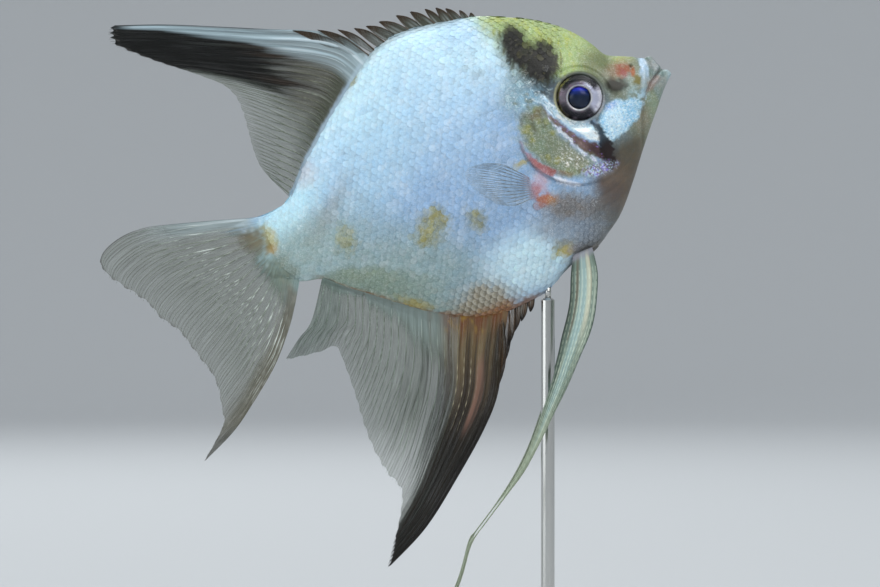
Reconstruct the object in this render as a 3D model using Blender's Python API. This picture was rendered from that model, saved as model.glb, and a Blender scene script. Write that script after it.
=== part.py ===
"""Freshwater angelfish, life size, on a plain display stand.

The fish is modelled level in its own frame, in millimetres: s runs forward along
the body from the root of the tail, t runs up, and y to the fish's left.  An empty
then lifts it onto the stand and pitches it nose-up.  The body is one loft between
a back line and a belly line, parted by thin cuts; the fins are tapered plates
spread between the body and their own margins.
"""
import math

import bmesh
import bpy
import numpy as np
from mathutils import Vector

for startup_object in list(bpy.data.objects):
    bpy.data.objects.remove(startup_object)

# ---------------------------------------------------------------- driving sizes
MM = 0.001                       # the lists below are in millimetres
STANDARD_LENGTH = 80.0           # lip to root of tail; every fish size goes with it
PITCH_DEG = 23.4                 # nose-up tilt of the body on the stand
TAIL_ROOT_X = -38.0              # where the tail root hangs, ahead of the base's middle
TAIL_ROOT_Z = 86.0               # and above the floor
GAP = 0.3                        # clear space left between neighbouring solids

STATIONS = 46                    # body loft: slices from tail to lip
RING_STEPS = 12                  # and steps round half a slice

# back and belly of the body, as (s, t)
BACK_LINE = [(-1.5, 6.1), (2.5, 5.8), (5.7, 6.4), (8.0, 8.0), (11.6, 11.6), (15.2, 14.4),
             (19.5, 17.7), (23.9, 20.8), (28.6, 24.0), (33.0, 25.9), (37.2, 26.5),
             (41.9, 25.9), (46.4, 24.9), (50.9, 23.7), (55.0, 21.9), (59.8, 19.3),
             (64.3, 15.9), (67.0, 12.9), (68.6, 10.4), (69.9, 8.0), (72.2, 6.7),
             (74.4, 5.6), (76.7, 4.6), (77.5, 4.1), (77.9, 2.9), (78.1, 1.7),
             (78.8, 1.15), (79.3, 0.5)]
BELLY_LINE = [(-1.5, -5.4), (1.2, -6.6), (3.0, -8.2), (6.5, -9.3), (9.5, -12.4),
              (13.1, -15.4), (17.5, -19.1), (21.9, -22.6), (25.8, -25.0), (29.9, -27.0),
              (33.5, -27.9), (38.0, -28.0), (42.6, -27.5), (46.2, -26.1), (49.8, -24.5),
              (54.0, -24.0), (57.8, -22.0), (61.3, -19.6), (65.6, -15.1), (69.2, -10.9),
              (71.9, -7.9), (74.5, -5.1), (77.0, -2.4), (79.3, -0.4)]
# half the body's width, and how high the widest place lies
HALF_WIDTH = [(-1.5, 1.1), (2.5, 1.5), (6.0, 1.9), (12.0, 3.0), (20.0, 4.5), (30.0, 5.8),
              (40.0, 6.7), (50.0, 7.1), (58.0, 6.8), (64.0, 5.9), (68.0, 4.9),
              (72.0, 3.7), (75.0, 2.8), (77.2, 2.1), (78.4, 1.5), (79.3, 0.8)]
WIDEST_HEIGHT = [(-1.5, 0.2), (20.0, -1.5), (45.0, -2.5), (58.0, -0.5), (68.0, -0.5),
                 (76.0, 0.0), (79.3, 0.1)]
RIDGE_SHARPNESS = 1.25           # 1 is an ellipse; more draws the back and belly thin

# cuts between the parts of the body, as (s, t)
GILL_REAR_EDGE = [(53.6, 6.6), (50.9, 3.5), (48.9, 0.0), (48.2, -3.6), (48.8, -6.4),
                  (51.0, -9.4), (54.2, -12.0), (57.9, -13.2)]
GILL_FRONT_EDGE = [(61.0, -9.0), (60.0, -5.0), (57.5, -1.5), (55.2, 2.5)]
NAPE_CUT = [(54.5, 34.0), (54.3, 14.0)]
THROAT_CUT = [(59.6, -15.5), (60.4, -19.0), (61.2, -26.0)]
TRUNK_CUT = [(30.5, 34.0), (29.0, 14.0), (28.5, 0.0), (29.0, -14.0), (30.5, -34.0)]
STALK_CUT = [(7.6, 14.0), (6.6, 6.0), (6.0, 0.0), (6.2, -6.0), (7.2, -14.0)]
MOUTH_LINE = [(82.0, 1.6), (77.6, 1.3), (75.2, -0.2), (73.0, -2.2)]
UPPER_JAW_REAR = [(72.0, -1.2), (73.0, 1.5), (74.2, 4.0), (74.8, 9.0)]
LOWER_JAW_REAR = [(71.8, -3.6), (70.6, -7.0), (68.6, -13.5)]
GILL_INNER_Y = 3.6               # the gill covers lie outside this

# eyes
EYE_AT = (62.3, 2.7)
EYE_RADIUS = 4.35
EYE_HALF_DEPTH = 2.5
EYE_Y = 4.6

# fins, as (s, t): the edges of each plate
DORSAL_SPINES_TOP = [(51.3, 24.1), (48.7, 25.9), (45.0, 27.9), (40.6, 29.0), (34.7, 29.7),
                     (29.6, 30.6)]
DORSAL_SPINE_COUNT = 11
DORSAL_SPLIT_S = 29.6
DORSAL_LEADING = [(29.4, 24.9), (28.7, 30.8), (23.7, 32.7), (16.0, 35.9), (8.0, 40.0),
                  (-1.5, 44.8), (-10.9, 48.9)]
DORSAL_MARGIN = [(-10.9, 48.9), (-12.0, 47.0), (-11.4, 45.0), (-8.0, 41.5), (-4.5, 38.3),
                 (-1.5, 35.7), (1.1, 33.3), (3.6, 30.8), (5.0, 28.0), (5.2, 24.9),
                 (4.8, 21.1), (4.3, 17.3), (4.3, 14.0), (5.2, 11.0)]
DORSAL_REAR = [(7.4, 7.9), (5.2, 11.0)]
ANAL_SPINES_EDGE = [(40.6, -28.7), (37.2, -29.6), (34.0, -32.0), (30.2, -36.5), (26.7, -40.9)]
ANAL_FRONT_S, ANAL_SPLIT_S = 40.4, 33.0
ANAL_LEADING = [(32.8, -28.5), (29.4, -34.6), (26.0, -41.0), (21.3, -46.0), (14.1, -51.8),
                (5.4, -58.0), (-3.6, -62.0)]
ANAL_MARGIN = [(-3.6, -62.0), (-0.8, -58.3), (2.4, -53.9), (4.2, -50.0), (3.0, -46.0),
               (2.5, -40.5), (2.8, -35.3), (3.3, -31.7), (3.8, -25.2), (3.6, -21.4),
               (1.0, -21.2), (-2.4, -20.7), (-5.9, -20.0)]
ANAL_REAR = [(7.2, -10.4), (1.6, -15.2), (-2.0, -17.4), (-5.9, -20.0)]
TAIL_BASE = [(-1.9, 6.5), (-1.9, 3.0), (-1.9, -1.0), (-1.9, -4.0), (-1.7, -6.0), (0.8, -7.4)]
TAIL_TOP = [(-1.9, 6.5), (-9.9, 9.2), (-18.9, 11.2), (-24.5, 12.0), (-28.1, 11.2),
            (-29.9, 9.6)]
TAIL_MARGIN = [(-29.9, 9.6), (-29.2, 6.4), (-24.9, -0.4), (-23.7, -4.0), (-21.5, -7.5),
               (-20.7, -10.5), (-19.8, -14.1), (-19.0, -17.0), (-19.0, -20.0),
               (-19.8, -23.5), (-20.9, -26.6), (-26.7, -31.2)]
TAIL_BOTTOM = [(0.8, -7.4), (0.0, -11.6), (-2.7, -15.3), (-7.9, -20.6), (-14.6, -25.2),
               (-19.6, -28.3), (-26.7, -31.2)]
PECTORAL_BASE = [(47.6, -7.2), (47.2, -11.0)]
PECTORAL_TOP = [(47.6, -7.2), (44.8, -3.6), (41.6, -2.0)]
PECTORAL_MARGIN = [(41.6, -2.0), (38.6, -1.6), (37.2, -3.0), (38.4, -6.4), (40.6, -9.6)]
PECTORAL_BOTTOM = [(47.2, -11.0), (43.8, -11.2), (40.6, -9.6)]
PECTORAL_SPREAD = 6.5            # how far the fin's end stands out from its root
PELVIC_REAR = [(50.0, -24.7), (48.7, -29.0), (44.6, -36.3), (38.4, -43.2), (31.2, -49.3),
               (24.0, -54.7), (16.6, -60.2), (12.2, -62.8), (6.3, -70.4), (-1.6, -77.6)]
PELVIC_FRONT = [(53.6, -24.6), (51.5, -30.8), (47.8, -36.1), (41.6, -42.2), (33.6, -48.9),
                (25.9, -54.6), (17.8, -60.3), (12.8, -63.2), (6.9, -70.6), (-1.1, -77.7)]
PELVIC_OUT = [(0.0, 1.5), (0.15, 2.8), (0.45, 4.6), (0.75, 4.4), (1.0, 3.4)]
FAR_PELVIC_LEAD = 0.9            # the left pelvic fin hangs this much further forward

FIN_EDGE = 0.56                  # fin thickness at the margin

# stand
BASE_LENGTH, BASE_WIDTH, BASE_HEIGHT = 92.0, 58.0, 8.0
BASE_CORNER, BASE_CHAMFER = 14.0, 1.2
ROD_X = 12.5
ROD_RADIUS = 1.25
COLLAR_RADIUS, COLLAR_HEIGHT = 3.2, 2.4
ROD_TOP_BELOW_BELLY = 0.45


# ---------------------------------------------------------------- curves
def smooth_path(points, count):
    """Count points, evenly spaced in parameter, on a Catmull-Rom path."""
    p = np.array(points, dtype=float)
    p = np.vstack([2 * p[0] - p[1], p, 2 * p[-1] - p[-2]])
    steps = np.linalg.norm(np.diff(p, axis=0), axis=1)[1:-1]
    along = np.concatenate([[0.0], np.cumsum(steps)]) / steps.sum()
    found = []
    for wanted in np.linspace(0.0, 1.0, count):
        i = min(int(np.searchsorted(along, wanted, side="right")) - 1, len(steps) - 1)
        u = (wanted - along[i]) / (along[i + 1] - along[i])
        a, b, c, d = p[i], p[i + 1], p[i + 2], p[i + 3]
        found.append(0.5 * (2 * b + (c - a) * u + (2 * a - 5 * b + 4 * c - d) * u ** 2
                            + (3 * b - a - 3 * c + d) * u ** 3))
    return np.array(found)


def height_on(line, s):
    """Value at s on a smooth line given as (s, value) points."""
    path = smooth_path(line, 24 * len(line))
    order = np.argsort(path[:, 0])
    return np.interp(s, path[order, 0], path[order, 1])


def side_y(s, t):
    """Half the body's width at height t of the slice at s."""
    top, bottom = height_on(BACK_LINE, s), height_on(BELLY_LINE, s)
    middle = np.interp(s, *np.transpose(WIDEST_HEIGHT))
    reach = np.where(t > middle, top - middle, middle - bottom)
    share = np.clip(np.abs(t - middle) / reach, 0.0, 1.0)
    return height_on(HALF_WIDTH, s) * np.sqrt(1.0 - share ** 2) ** RIDGE_SHARPNESS


# ---------------------------------------------------------------- materials and objects
def paint(name, colour, roughness, metallic=0.0):
    material = bpy.data.materials.new(name)
    material.use_nodes = True
    shader = material.node_tree.nodes["Principled BSDF"]
    shader.inputs["Base Color"].default_value = (*colour, 1.0)
    shader.inputs["Roughness"].default_value = roughness
    shader.inputs["Metallic"].default_value = metallic
    return material


POSE = bpy.data.objects.new("angelfish_pose", None)
POSE.location = (TAIL_ROOT_X * MM, 0.0, TAIL_ROOT_Z * MM)
POSE.rotation_euler = (0.0, -math.radians(PITCH_DEG), 0.0)
bpy.context.scene.collection.objects.link(POSE)


def make_object(name, mesh, material=None, parent=POSE):
    node = bpy.data.objects.new(name, mesh)
    node.parent = parent
    if material:
        mesh.materials.append(material)
        mesh.shade_smooth()
        mesh.set_sharp_from_angle(angle=math.radians(50))
    else:
        node.hide_render = True
        node.display_type = "WIRE"
    bpy.context.scene.collection.objects.link(node)
    return node


def mesh_from(name, bm):
    bmesh.ops.recalc_face_normals(bm, faces=bm.faces)
    if bm.calc_volume(signed=True) < 0.0:
        bmesh.ops.reverse_faces(bm, faces=bm.faces)
    mesh = bpy.data.meshes.new(name)
    bm.to_mesh(mesh)
    bm.free()
    return mesh


# ---------------------------------------------------------------- body
def body_mesh():
    """Loft of the whole body, closed at the tail root and at the lips."""
    spread = np.linspace(0.0, 1.0, STATIONS)
    stations = -1.5 + 80.8 * (1.0 - (1.0 - spread) ** 1.35)
    angles = np.linspace(-math.pi / 2, math.pi / 2, RING_STEPS + 1)
    bm = bmesh.new()
    rings = []
    for s in stations:
        top, bottom = height_on(BACK_LINE, s), height_on(BELLY_LINE, s)
        middle = np.interp(s, *np.transpose(WIDEST_HEIGHT))
        width = height_on(HALF_WIDTH, s)
        half = []
        for angle in angles:
            reach = top - middle if angle > 0 else middle - bottom
            y = width * max(math.cos(angle), 0.0) ** RIDGE_SHARPNESS
            half.append((y, middle + reach * math.sin(angle)))
        ring = half + [(-y, t) for y, t in half[-2:0:-1]]
        rings.append([bm.verts.new((s * MM, y * MM, t * MM)) for y, t in ring])
    for lower, upper in zip(rings, rings[1:]):
        for i in range(len(lower)):
            j = (i + 1) % len(lower)
            bm.faces.new((lower[i], lower[j], upper[j], upper[i]))
    for ring in (rings[0], rings[-1]):
        bm.faces.new(ring)
    return mesh_from("body_loft", bm)


def grown(outline, margin):
    """The closed outline moved outwards by margin, or inwards where it is negative."""
    p = np.array(outline, dtype=float)
    back, ahead = np.roll(p, 1, axis=0), np.roll(p, -1, axis=0)
    area = np.sum(p[:, 0] * ahead[:, 1] - ahead[:, 0] * p[:, 1])
    turn = 1.0 if area > 0 else -1.0

    def outward(edge):
        normal = np.stack([edge[:, 1], -edge[:, 0]], axis=1)
        return normal * turn / np.linalg.norm(edge, axis=1, keepdims=True)

    before, after = outward(p - back), outward(ahead - p)
    corner = before + after
    corner /= np.maximum(np.sum(corner * before, axis=1, keepdims=True), 0.35)
    return p + corner * margin


def prism(name, outline, y_low, y_high):
    """A cutter: a closed outline in the s-t plane, drawn out from y_low to y_high."""
    bm = bmesh.new()
    near = [bm.verts.new((s * MM, y_low * MM, t * MM)) for s, t in outline]
    far = [bm.verts.new((s * MM, y_high * MM, t * MM)) for s, t in outline]
    for i in range(len(near)):
        j = (i + 1) % len(near)
        bm.faces.new((near[i], near[j], far[j], far[i]))
    bm.faces.new(near)
    bm.faces.new(far)
    return make_object(name, mesh_from(name, bm))


def lens(name, side, grow, material=None):
    """The eye's flattened ball, or its socket where it has grown a little."""
    bm = bmesh.new()
    bmesh.ops.create_uvsphere(bm, u_segments=16, v_segments=8, radius=1.0)
    radius, depth = (EYE_RADIUS + grow) * MM, (EYE_HALF_DEPTH + grow) * MM
    for vert in bm.verts:
        x, y, z = vert.co
        vert.co = Vector((x * radius + EYE_AT[0] * MM, z * depth + side * EYE_Y * MM,
                          y * radius + EYE_AT[1] * MM))
    return make_object(name, mesh_from(name, bm), material)


def cut_body(name, material, keep, remove=()):
    """One part of the body: the loft inside the keep cutter, less the remove cutters."""
    node = make_object(name, BODY.copy(), material)
    for cutter, operation in [(keep, "INTERSECT")] + [(c, "DIFFERENCE") for c in remove]:
        cut = node.modifiers.new(operation.lower(), "BOOLEAN")
        cut.operation = operation
        cut.solver = "EXACT"
        cut.object = cutter
    return node


def curved(points, count=14):
    return [tuple(p) for p in smooth_path(points, count)]


def build_body():
    far_out = 12.0
    half_gap = GAP / 2
    head_rear = (curved(NAPE_CUT, 3) + curved(GILL_REAR_EDGE) + curved(THROAT_CUT, 5))
    trunk_cut, stalk_cut = curved(TRUNK_CUT, 9), curved(STALK_CUT, 7)
    mouth, upper_rear = curved(MOUTH_LINE, 7), curved(UPPER_JAW_REAR, 6)
    lower_rear = curved(LOWER_JAW_REAR, 6)
    ahead_top, ahead_bottom = [(84.0, 34.0)], [(84.0, -26.0)]

    outlines = {
        "head": head_rear + ahead_bottom + ahead_top,
        "trunk_front": head_rear + [(60.0, -34.0)] + trunk_cut[::-1] + [(54.0, 36.0)],
        "trunk_rear": trunk_cut + stalk_cut[::-1],
        "tail_stalk": stalk_cut + [(-6.0, -14.0), (-6.0, 14.0)],
        "upper_jaw": mouth + upper_rear + [(82.0, 9.0)],
        "lower_jaw": mouth + lower_rear + [(84.0, -13.5)],
    }
    gill = curved(GILL_REAR_EDGE) + curved(GILL_FRONT_EDGE, 6)

    def cutter(label, outline, margin, low=-far_out, high=far_out):
        return prism("cutter_" + label, grown(outline, margin), low, high)

    jaws = [cutter(jaw + "_room", outlines[jaw], half_gap, -far_out - 1, far_out + 1)
            for jaw in ("upper_jaw", "lower_jaw")]
    eye_paint = paint("eye_silver", (0.10, 0.10, 0.16), 0.12)
    pearl = paint("skin_pearl", (0.62, 0.70, 0.84), 0.34)
    shiny = paint("skin_cheek_silver", (0.55, 0.62, 0.66), 0.26)
    lip = paint("skin_lip", (0.55, 0.60, 0.55), 0.40)
    rooms = []
    for side, label in ((1.0, "left"), (-1.0, "right")):
        lens("eye_" + label, side, 0.0, eye_paint)
        rooms.append(lens("cutter_socket_" + label, side, GAP))
        inner = sorted((side * GILL_INNER_Y, side * far_out))
        room = sorted((side * (GILL_INNER_Y - GAP), side * (far_out + 2.0)))
        keep = cutter("gill_" + label, gill, -half_gap, *inner)
        rooms.append(cutter("gill_room_" + label, gill, half_gap, *room))
        cut_body("gill_cover_" + label, shiny, keep)
    for name in ("head", "trunk_front", "trunk_rear", "tail_stalk", "upper_jaw", "lower_jaw"):
        keep = cutter(name, outlines[name], -half_gap)
        remove = rooms + jaws if name == "head" else ()
        cut_body(name, lip if "jaw" in name else pearl, keep, remove)


# ---------------------------------------------------------------- fins
def coons(base, margin, front, rear, across, along):
    """Grid of (s, t) between four edges: base and margin run from front to rear."""
    b, m = smooth_path(base, across + 1), smooth_path(margin, across + 1)
    f, r = smooth_path(front, along + 1), smooth_path(rear, along + 1)
    u = np.linspace(0, 1, across + 1)[:, None, None]
    v = np.linspace(0, 1, along + 1)[None, :, None]
    ruled = (1 - v) * b[:, None] + v * m[:, None] + (1 - u) * f[None] + u * r[None]
    corners = ((1 - u) * (1 - v) * b[0] + u * (1 - v) * b[-1]
               + (1 - u) * v * m[0] + u * v * m[-1])
    return ruled - corners


def plate(name, grid, thickness, offset, material, parent=POSE):
    """A closed plate on a grid of (s, t), with a thickness and a y for every point."""
    across, along = grid.shape[0], grid.shape[1]
    bm = bmesh.new()
    sides = []
    for sign in (1.0, -1.0):
        y = offset + sign * thickness / 2
        sides.append([[bm.verts.new((grid[i, j, 0] * MM, y[i, j] * MM, grid[i, j, 1] * MM))
                       for j in range(along)] for i in range(across)])
    for side in sides:
        for i in range(across - 1):
            for j in range(along - 1):
                bm.faces.new((side[i][j], side[i + 1][j], side[i + 1][j + 1], side[i][j + 1]))
    rim = ([(i, 0) for i in range(across)] + [(across - 1, j) for j in range(1, along)]
           + [(i, along - 1) for i in range(across - 2, -1, -1)]
           + [(0, j) for j in range(along - 2, 0, -1)])
    for (i, j), (k, m) in zip(rim, rim[1:] + rim[:1]):
        bm.faces.new((sides[0][i][j], sides[0][k][m], sides[1][k][m], sides[1][i][j]))
    return make_object(name, mesh_from(name, bm), material, parent)


def body_edge(line, s_front, s_rear, lift, count=9):
    """Base of a fin: the body's own line between two stations, lifted clear of it."""
    return [(s, height_on(line, s) + lift) for s in np.linspace(s_front, s_rear, count)]


def taper(grid, root, edge=FIN_EDGE, power=0.6):
    """Thickness that falls from root at the body to edge at the margin."""
    v = np.linspace(0, 1, grid.shape[1])[None, :]
    return np.repeat(edge + (root - edge) * (1 - v ** power), grid.shape[0], axis=0)


def sway(grid, amount, start=0.0):
    """Sideways bend that grows with the distance from the base, zero at the base."""
    v = np.linspace(0, 1, grid.shape[1])[None, :]
    u = np.linspace(0, 1, grid.shape[0])[:, None]
    return amount * v ** 2 * np.cos((u - start) * math.pi)


def build_dorsal(material):
    lift = GAP + 0.35
    across = DORSAL_SPINE_COUNT * 2
    base = body_edge(BACK_LINE, 51.3, DORSAL_SPLIT_S + 0.2, lift)
    top = smooth_path(DORSAL_SPINES_TOP, across + 1)
    base_points = smooth_path(base, across + 1)
    for i in range(1, across, 2):
        top[i] = base_points[i] + (top[i] - base_points[i]) * 0.68
    v = np.linspace(0, 1, 3)[None, :, None]
    grid = base_points[:, None] * (1 - v) + top[:, None] * v
    plate("dorsal_fin_spiny", grid, taper(grid, 1.3), sway(grid, 0.0), material)

    base = body_edge(BACK_LINE, DORSAL_SPLIT_S - 0.2, 7.4, lift)
    leading = [base[0]] + DORSAL_LEADING[1:]
    rear = [base[-1]] + DORSAL_REAR[1:]
    grid = coons(base, DORSAL_MARGIN, leading, rear, 22, 8)
    plate("dorsal_fin_soft", grid, taper(grid, 1.4), sway(grid, 3.0), material)


def build_anal(material):
    drop = -(GAP + 0.35)
    base = body_edge(BELLY_LINE, ANAL_FRONT_S, ANAL_SPLIT_S + 0.2, drop)
    edge = smooth_path(ANAL_SPINES_EDGE, 13)
    base_points = smooth_path(base, 13)
    for i in range(1, 12, 2):
        edge[i] = base_points[i] + (edge[i] - base_points[i]) * 0.9
    v = np.linspace(0, 1, 4)[None, :, None]
    grid = base_points[:, None] * (1 - v) + edge[:, None] * v
    plate("anal_fin_spiny", grid, taper(grid, 1.3), sway(grid, 0.0), material)

    base = body_edge(BELLY_LINE, ANAL_SPLIT_S - 0.2, 7.2, drop)
    leading = [base[0]] + ANAL_LEADING[1:]
    rear = [base[-1]] + ANAL_REAR[1:]
    grid = coons(base, ANAL_MARGIN, leading, rear, 22, 8)
    plate("anal_fin_soft", grid, taper(grid, 1.4), sway(grid, -3.0), material)


def build_tail(material):
    grid = coons(TAIL_BASE, TAIL_MARGIN, TAIL_TOP, TAIL_BOTTOM, 22, 7)
    plate("tail_fin", grid, taper(grid, 1.6), sway(grid, 2.4, 0.2), material)


def build_paired_fins(material):
    for side, label in ((1.0, "left"), (-1.0, "right")):
        grid = coons(PECTORAL_BASE, PECTORAL_MARGIN, PECTORAL_TOP, PECTORAL_BOTTOM, 9, 6)
        v = np.linspace(0, 1, 7)[None, :]
        rooted = side_y(grid[:, 0, 0], grid[:, 0, 1])[:, None] + GAP + 0.9
        out = rooted + PECTORAL_SPREAD * v ** 0.8
        plate("pectoral_fin_" + label, grid, taper(grid, 1.1), side * out, material)

        rear, front = smooth_path(PELVIC_REAR, 24), smooth_path(PELVIC_FRONT, 24)
        if side > 0:
            rear, front = rear + (FAR_PELVIC_LEAD, 0), front + (FAR_PELVIC_LEAD, 0)
        width = np.linalg.norm(front - rear, axis=1, keepdims=True)
        middle, across = (front + rear) / 2, (front - rear) / width
        width = np.maximum(width, 0.62)
        u = np.linspace(-0.5, 0.5, 3)[:, None, None]
        grid = middle[None] + across[None] * width[None] * u
        v = np.linspace(0, 1, 24)
        out = np.interp(v, *np.transpose(PELVIC_OUT))[None, :] + np.zeros((3, 1))
        plate("pelvic_fin_" + label, grid, taper(grid, 1.5), side * out, material)


# ---------------------------------------------------------------- stand
def turned(name, profile, at_x, material, segments=24):
    """A solid turned about a vertical axis, from (radius, height) points."""
    bm = bmesh.new()
    rings = []
    for radius, height in profile:
        ring = []
        for i in range(segments):
            a = 2 * math.pi * i / segments
            ring.append(bm.verts.new(((at_x + radius * math.cos(a)) * MM,
                                      radius * math.sin(a) * MM, height * MM)))
        rings.append(ring)
    for lower, upper in zip(rings, rings[1:]):
        for i in range(segments):
            j = (i + 1) % segments
            bm.faces.new((lower[i], lower[j], upper[j], upper[i]))
    bm.faces.new(rings[0])
    bm.faces.new(rings[-1])
    return make_object(name, mesh_from(name, bm), material, parent=None)


def build_stand():
    wood = paint("stand_walnut", (0.13, 0.065, 0.035), 0.45)
    steel = paint("stand_steel", (0.62, 0.62, 0.60), 0.25, 1.0)

    def slab_outline(inset):
        corner = BASE_CORNER - inset
        points = []
        for quarter in range(4):
            cx = (BASE_LENGTH / 2 - BASE_CORNER) * (1 if quarter in (0, 3) else -1)
            cy = (BASE_WIDTH / 2 - BASE_CORNER) * (1 if quarter in (0, 1) else -1)
            for step in range(8):
                a = math.pi / 2 * (quarter + step / 7)
                points.append((cx + corner * math.cos(a), cy + corner * math.sin(a)))
        return points

    bm = bmesh.new()
    rings = [[bm.verts.new((x * MM, y * MM, z * MM)) for x, y in slab_outline(inset)]
             for inset, z in ((0.0, 0.0), (0.0, BASE_HEIGHT - BASE_CHAMFER),
                              (BASE_CHAMFER, BASE_HEIGHT))]
    for lower, upper in zip(rings, rings[1:]):
        for i in range(len(lower)):
            j = (i + 1) % len(lower)
            bm.faces.new((lower[i], lower[j], upper[j], upper[i]))
    bm.faces.new(rings[0])
    bm.faces.new(rings[-1])
    make_object("stand_base", mesh_from("stand_base", bm), wood, parent=None)

    pitch = math.radians(PITCH_DEG)
    s = np.linspace(36.0, 56.0, 400)
    t = height_on(BELLY_LINE, s)
    x = TAIL_ROOT_X + s * math.cos(pitch) - t * math.sin(pitch)
    z = TAIL_ROOT_Z + s * math.sin(pitch) + t * math.cos(pitch)
    over_rod = np.abs(x - ROD_X) < ROD_RADIUS
    rod_top = float(z[over_rod].min()) - ROD_TOP_BELOW_BELLY
    foot = BASE_HEIGHT + GAP
    turned("stand_collar", [(COLLAR_RADIUS, foot), (COLLAR_RADIUS, foot + COLLAR_HEIGHT - 0.6),
                            (COLLAR_RADIUS - 0.6, foot + COLLAR_HEIGHT)], ROD_X, steel)
    rod_foot = foot + COLLAR_HEIGHT + GAP
    turned("stand_rod", [(ROD_RADIUS, rod_foot), (ROD_RADIUS, rod_top - 0.4),
                         (ROD_RADIUS - 0.4, rod_top)], ROD_X, steel, 16)


BODY = body_mesh()
build_body()
smoky = paint("fin_smoky", (0.10, 0.10, 0.09), 0.35)
clear = paint("fin_clear", (0.55, 0.58, 0.55), 0.30)
cream = paint("fin_cream", (0.50, 0.52, 0.45), 0.35)
build_dorsal(smoky)
build_anal(smoky)
build_tail(clear)
build_paired_fins(cream)
build_stand()
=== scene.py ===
import math

import bpy
import numpy as np
from mathutils import Euler, Matrix, Vector


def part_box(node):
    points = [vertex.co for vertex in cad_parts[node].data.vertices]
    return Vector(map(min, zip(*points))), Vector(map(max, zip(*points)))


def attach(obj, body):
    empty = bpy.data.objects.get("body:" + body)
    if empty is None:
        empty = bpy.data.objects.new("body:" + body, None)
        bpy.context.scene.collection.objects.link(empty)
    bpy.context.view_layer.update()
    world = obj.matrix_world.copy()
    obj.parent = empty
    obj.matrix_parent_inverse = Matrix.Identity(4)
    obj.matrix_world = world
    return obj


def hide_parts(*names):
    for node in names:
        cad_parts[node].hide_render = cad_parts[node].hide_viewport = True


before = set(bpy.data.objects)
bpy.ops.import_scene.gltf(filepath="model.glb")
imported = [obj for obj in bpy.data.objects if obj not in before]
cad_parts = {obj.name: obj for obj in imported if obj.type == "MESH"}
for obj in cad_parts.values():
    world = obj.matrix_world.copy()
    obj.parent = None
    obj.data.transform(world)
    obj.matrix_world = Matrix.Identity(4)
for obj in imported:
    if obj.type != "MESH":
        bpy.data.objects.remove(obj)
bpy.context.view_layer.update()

MM = 0.001
scene = bpy.context.scene

# ---------------------------------------------------------------- the pose on the stand
# The fish hangs nose-up over the middle of its stand.  All of it is drawn level, in
# millimetres: s forward from the root of the tail, y to its left, t up.
base_low, base_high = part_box("stand_base")
PITCH = math.radians(23.4)
ROOT_BEHIND_MIDDLE, ROOT_OVER_BASE = 38 * MM, 78 * MM
TAIL_ROOT = np.array([(base_low[0] + base_high[0]) / 2 - ROOT_BEHIND_MIDDLE, 0.0,
                      base_high[2] + ROOT_OVER_BASE])
NOSE_WAY = np.array([math.cos(PITCH), 0.0, math.sin(PITCH)])
UP_WAY = np.array([-math.sin(PITCH), 0.0, math.cos(PITCH)])
LEFT_WAY = np.array([0.0, 1.0, 0.0])


def posed(places):
    """World places, in metres, of (s, y, t) rows in millimetres."""
    places = np.asarray(places, dtype=float)
    return (TAIL_ROOT + places[..., 0:1] * MM * NOSE_WAY + places[..., 2:3] * MM * UP_WAY
            + places[..., 1:2] * MM * LEFT_WAY)


def turned(ways):
    """World directions of (s, y, t) directions."""
    return ways[..., 0:1] * NOSE_WAY + ways[..., 2:3] * UP_WAY + ways[..., 1:2] * LEFT_WAY


# ---------------------------------------------------------------- studio
# A pale dish that sweeps up on every side, with soft boxes over it.  The camera stands
# square to the fish's right side.
def lathe(profile, segments):
    """Rings of points turned about the vertical axis from (radius, height) pairs."""
    turn = np.linspace(0, 2 * math.pi, segments, endpoint=False)
    return np.array([[(r * math.cos(a), r * math.sin(a), z) for a in turn] for r, z in profile])


def grid_faces(rows, columns, closed=False, flip=False):
    """Quads of a rows by columns sheet; closed joins the last column to the first."""
    faces = []
    for i in range(rows - 1):
        for j in range(columns if closed else columns - 1):
            k = (j + 1) % columns
            quad = (i * columns + j, i * columns + k, (i + 1) * columns + k, (i + 1) * columns + j)
            faces.append(quad[::-1] if flip else quad)
    return faces


def link_object(name, data):
    piece = bpy.data.objects.new(name, data)
    scene.collection.objects.link(piece)
    return piece


def make_piece(name, places, faces, material=None):
    mesh = bpy.data.meshes.new(name)
    mesh.from_pydata([tuple(p) for p in np.asarray(places).reshape(-1, 3)], [], faces)
    mesh.validate()
    mesh.shade_smooth()
    if material:
        mesh.materials.append(material)
    return link_object(name, mesh)


def feed(tree, node, **values):
    """Set a node's inputs by name, or by index as i0, i1; another node feeds its output."""
    for name, value in values.items():
        key = int(name[1:]) if name[1:].isdigit() else name.replace("_", " ")
        if isinstance(value, bpy.types.Node):
            value = value.outputs[0]
        if isinstance(value, bpy.types.NodeSocket):
            tree.links.new(value, node.inputs[key])
        else:
            node.inputs[key].default_value = value


def new_material(name, colour=(0.5, 0.5, 0.5), roughness=0.5, metallic=0.0, **values):
    material = bpy.data.materials.new(name)
    material.use_nodes = True
    shader = material.node_tree.nodes["Principled BSDF"]
    feed(material.node_tree, shader, Base_Color=(*colour, 1.0), Roughness=roughness,
         Metallic=metallic, **values)
    return material, material.node_tree, shader


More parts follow.
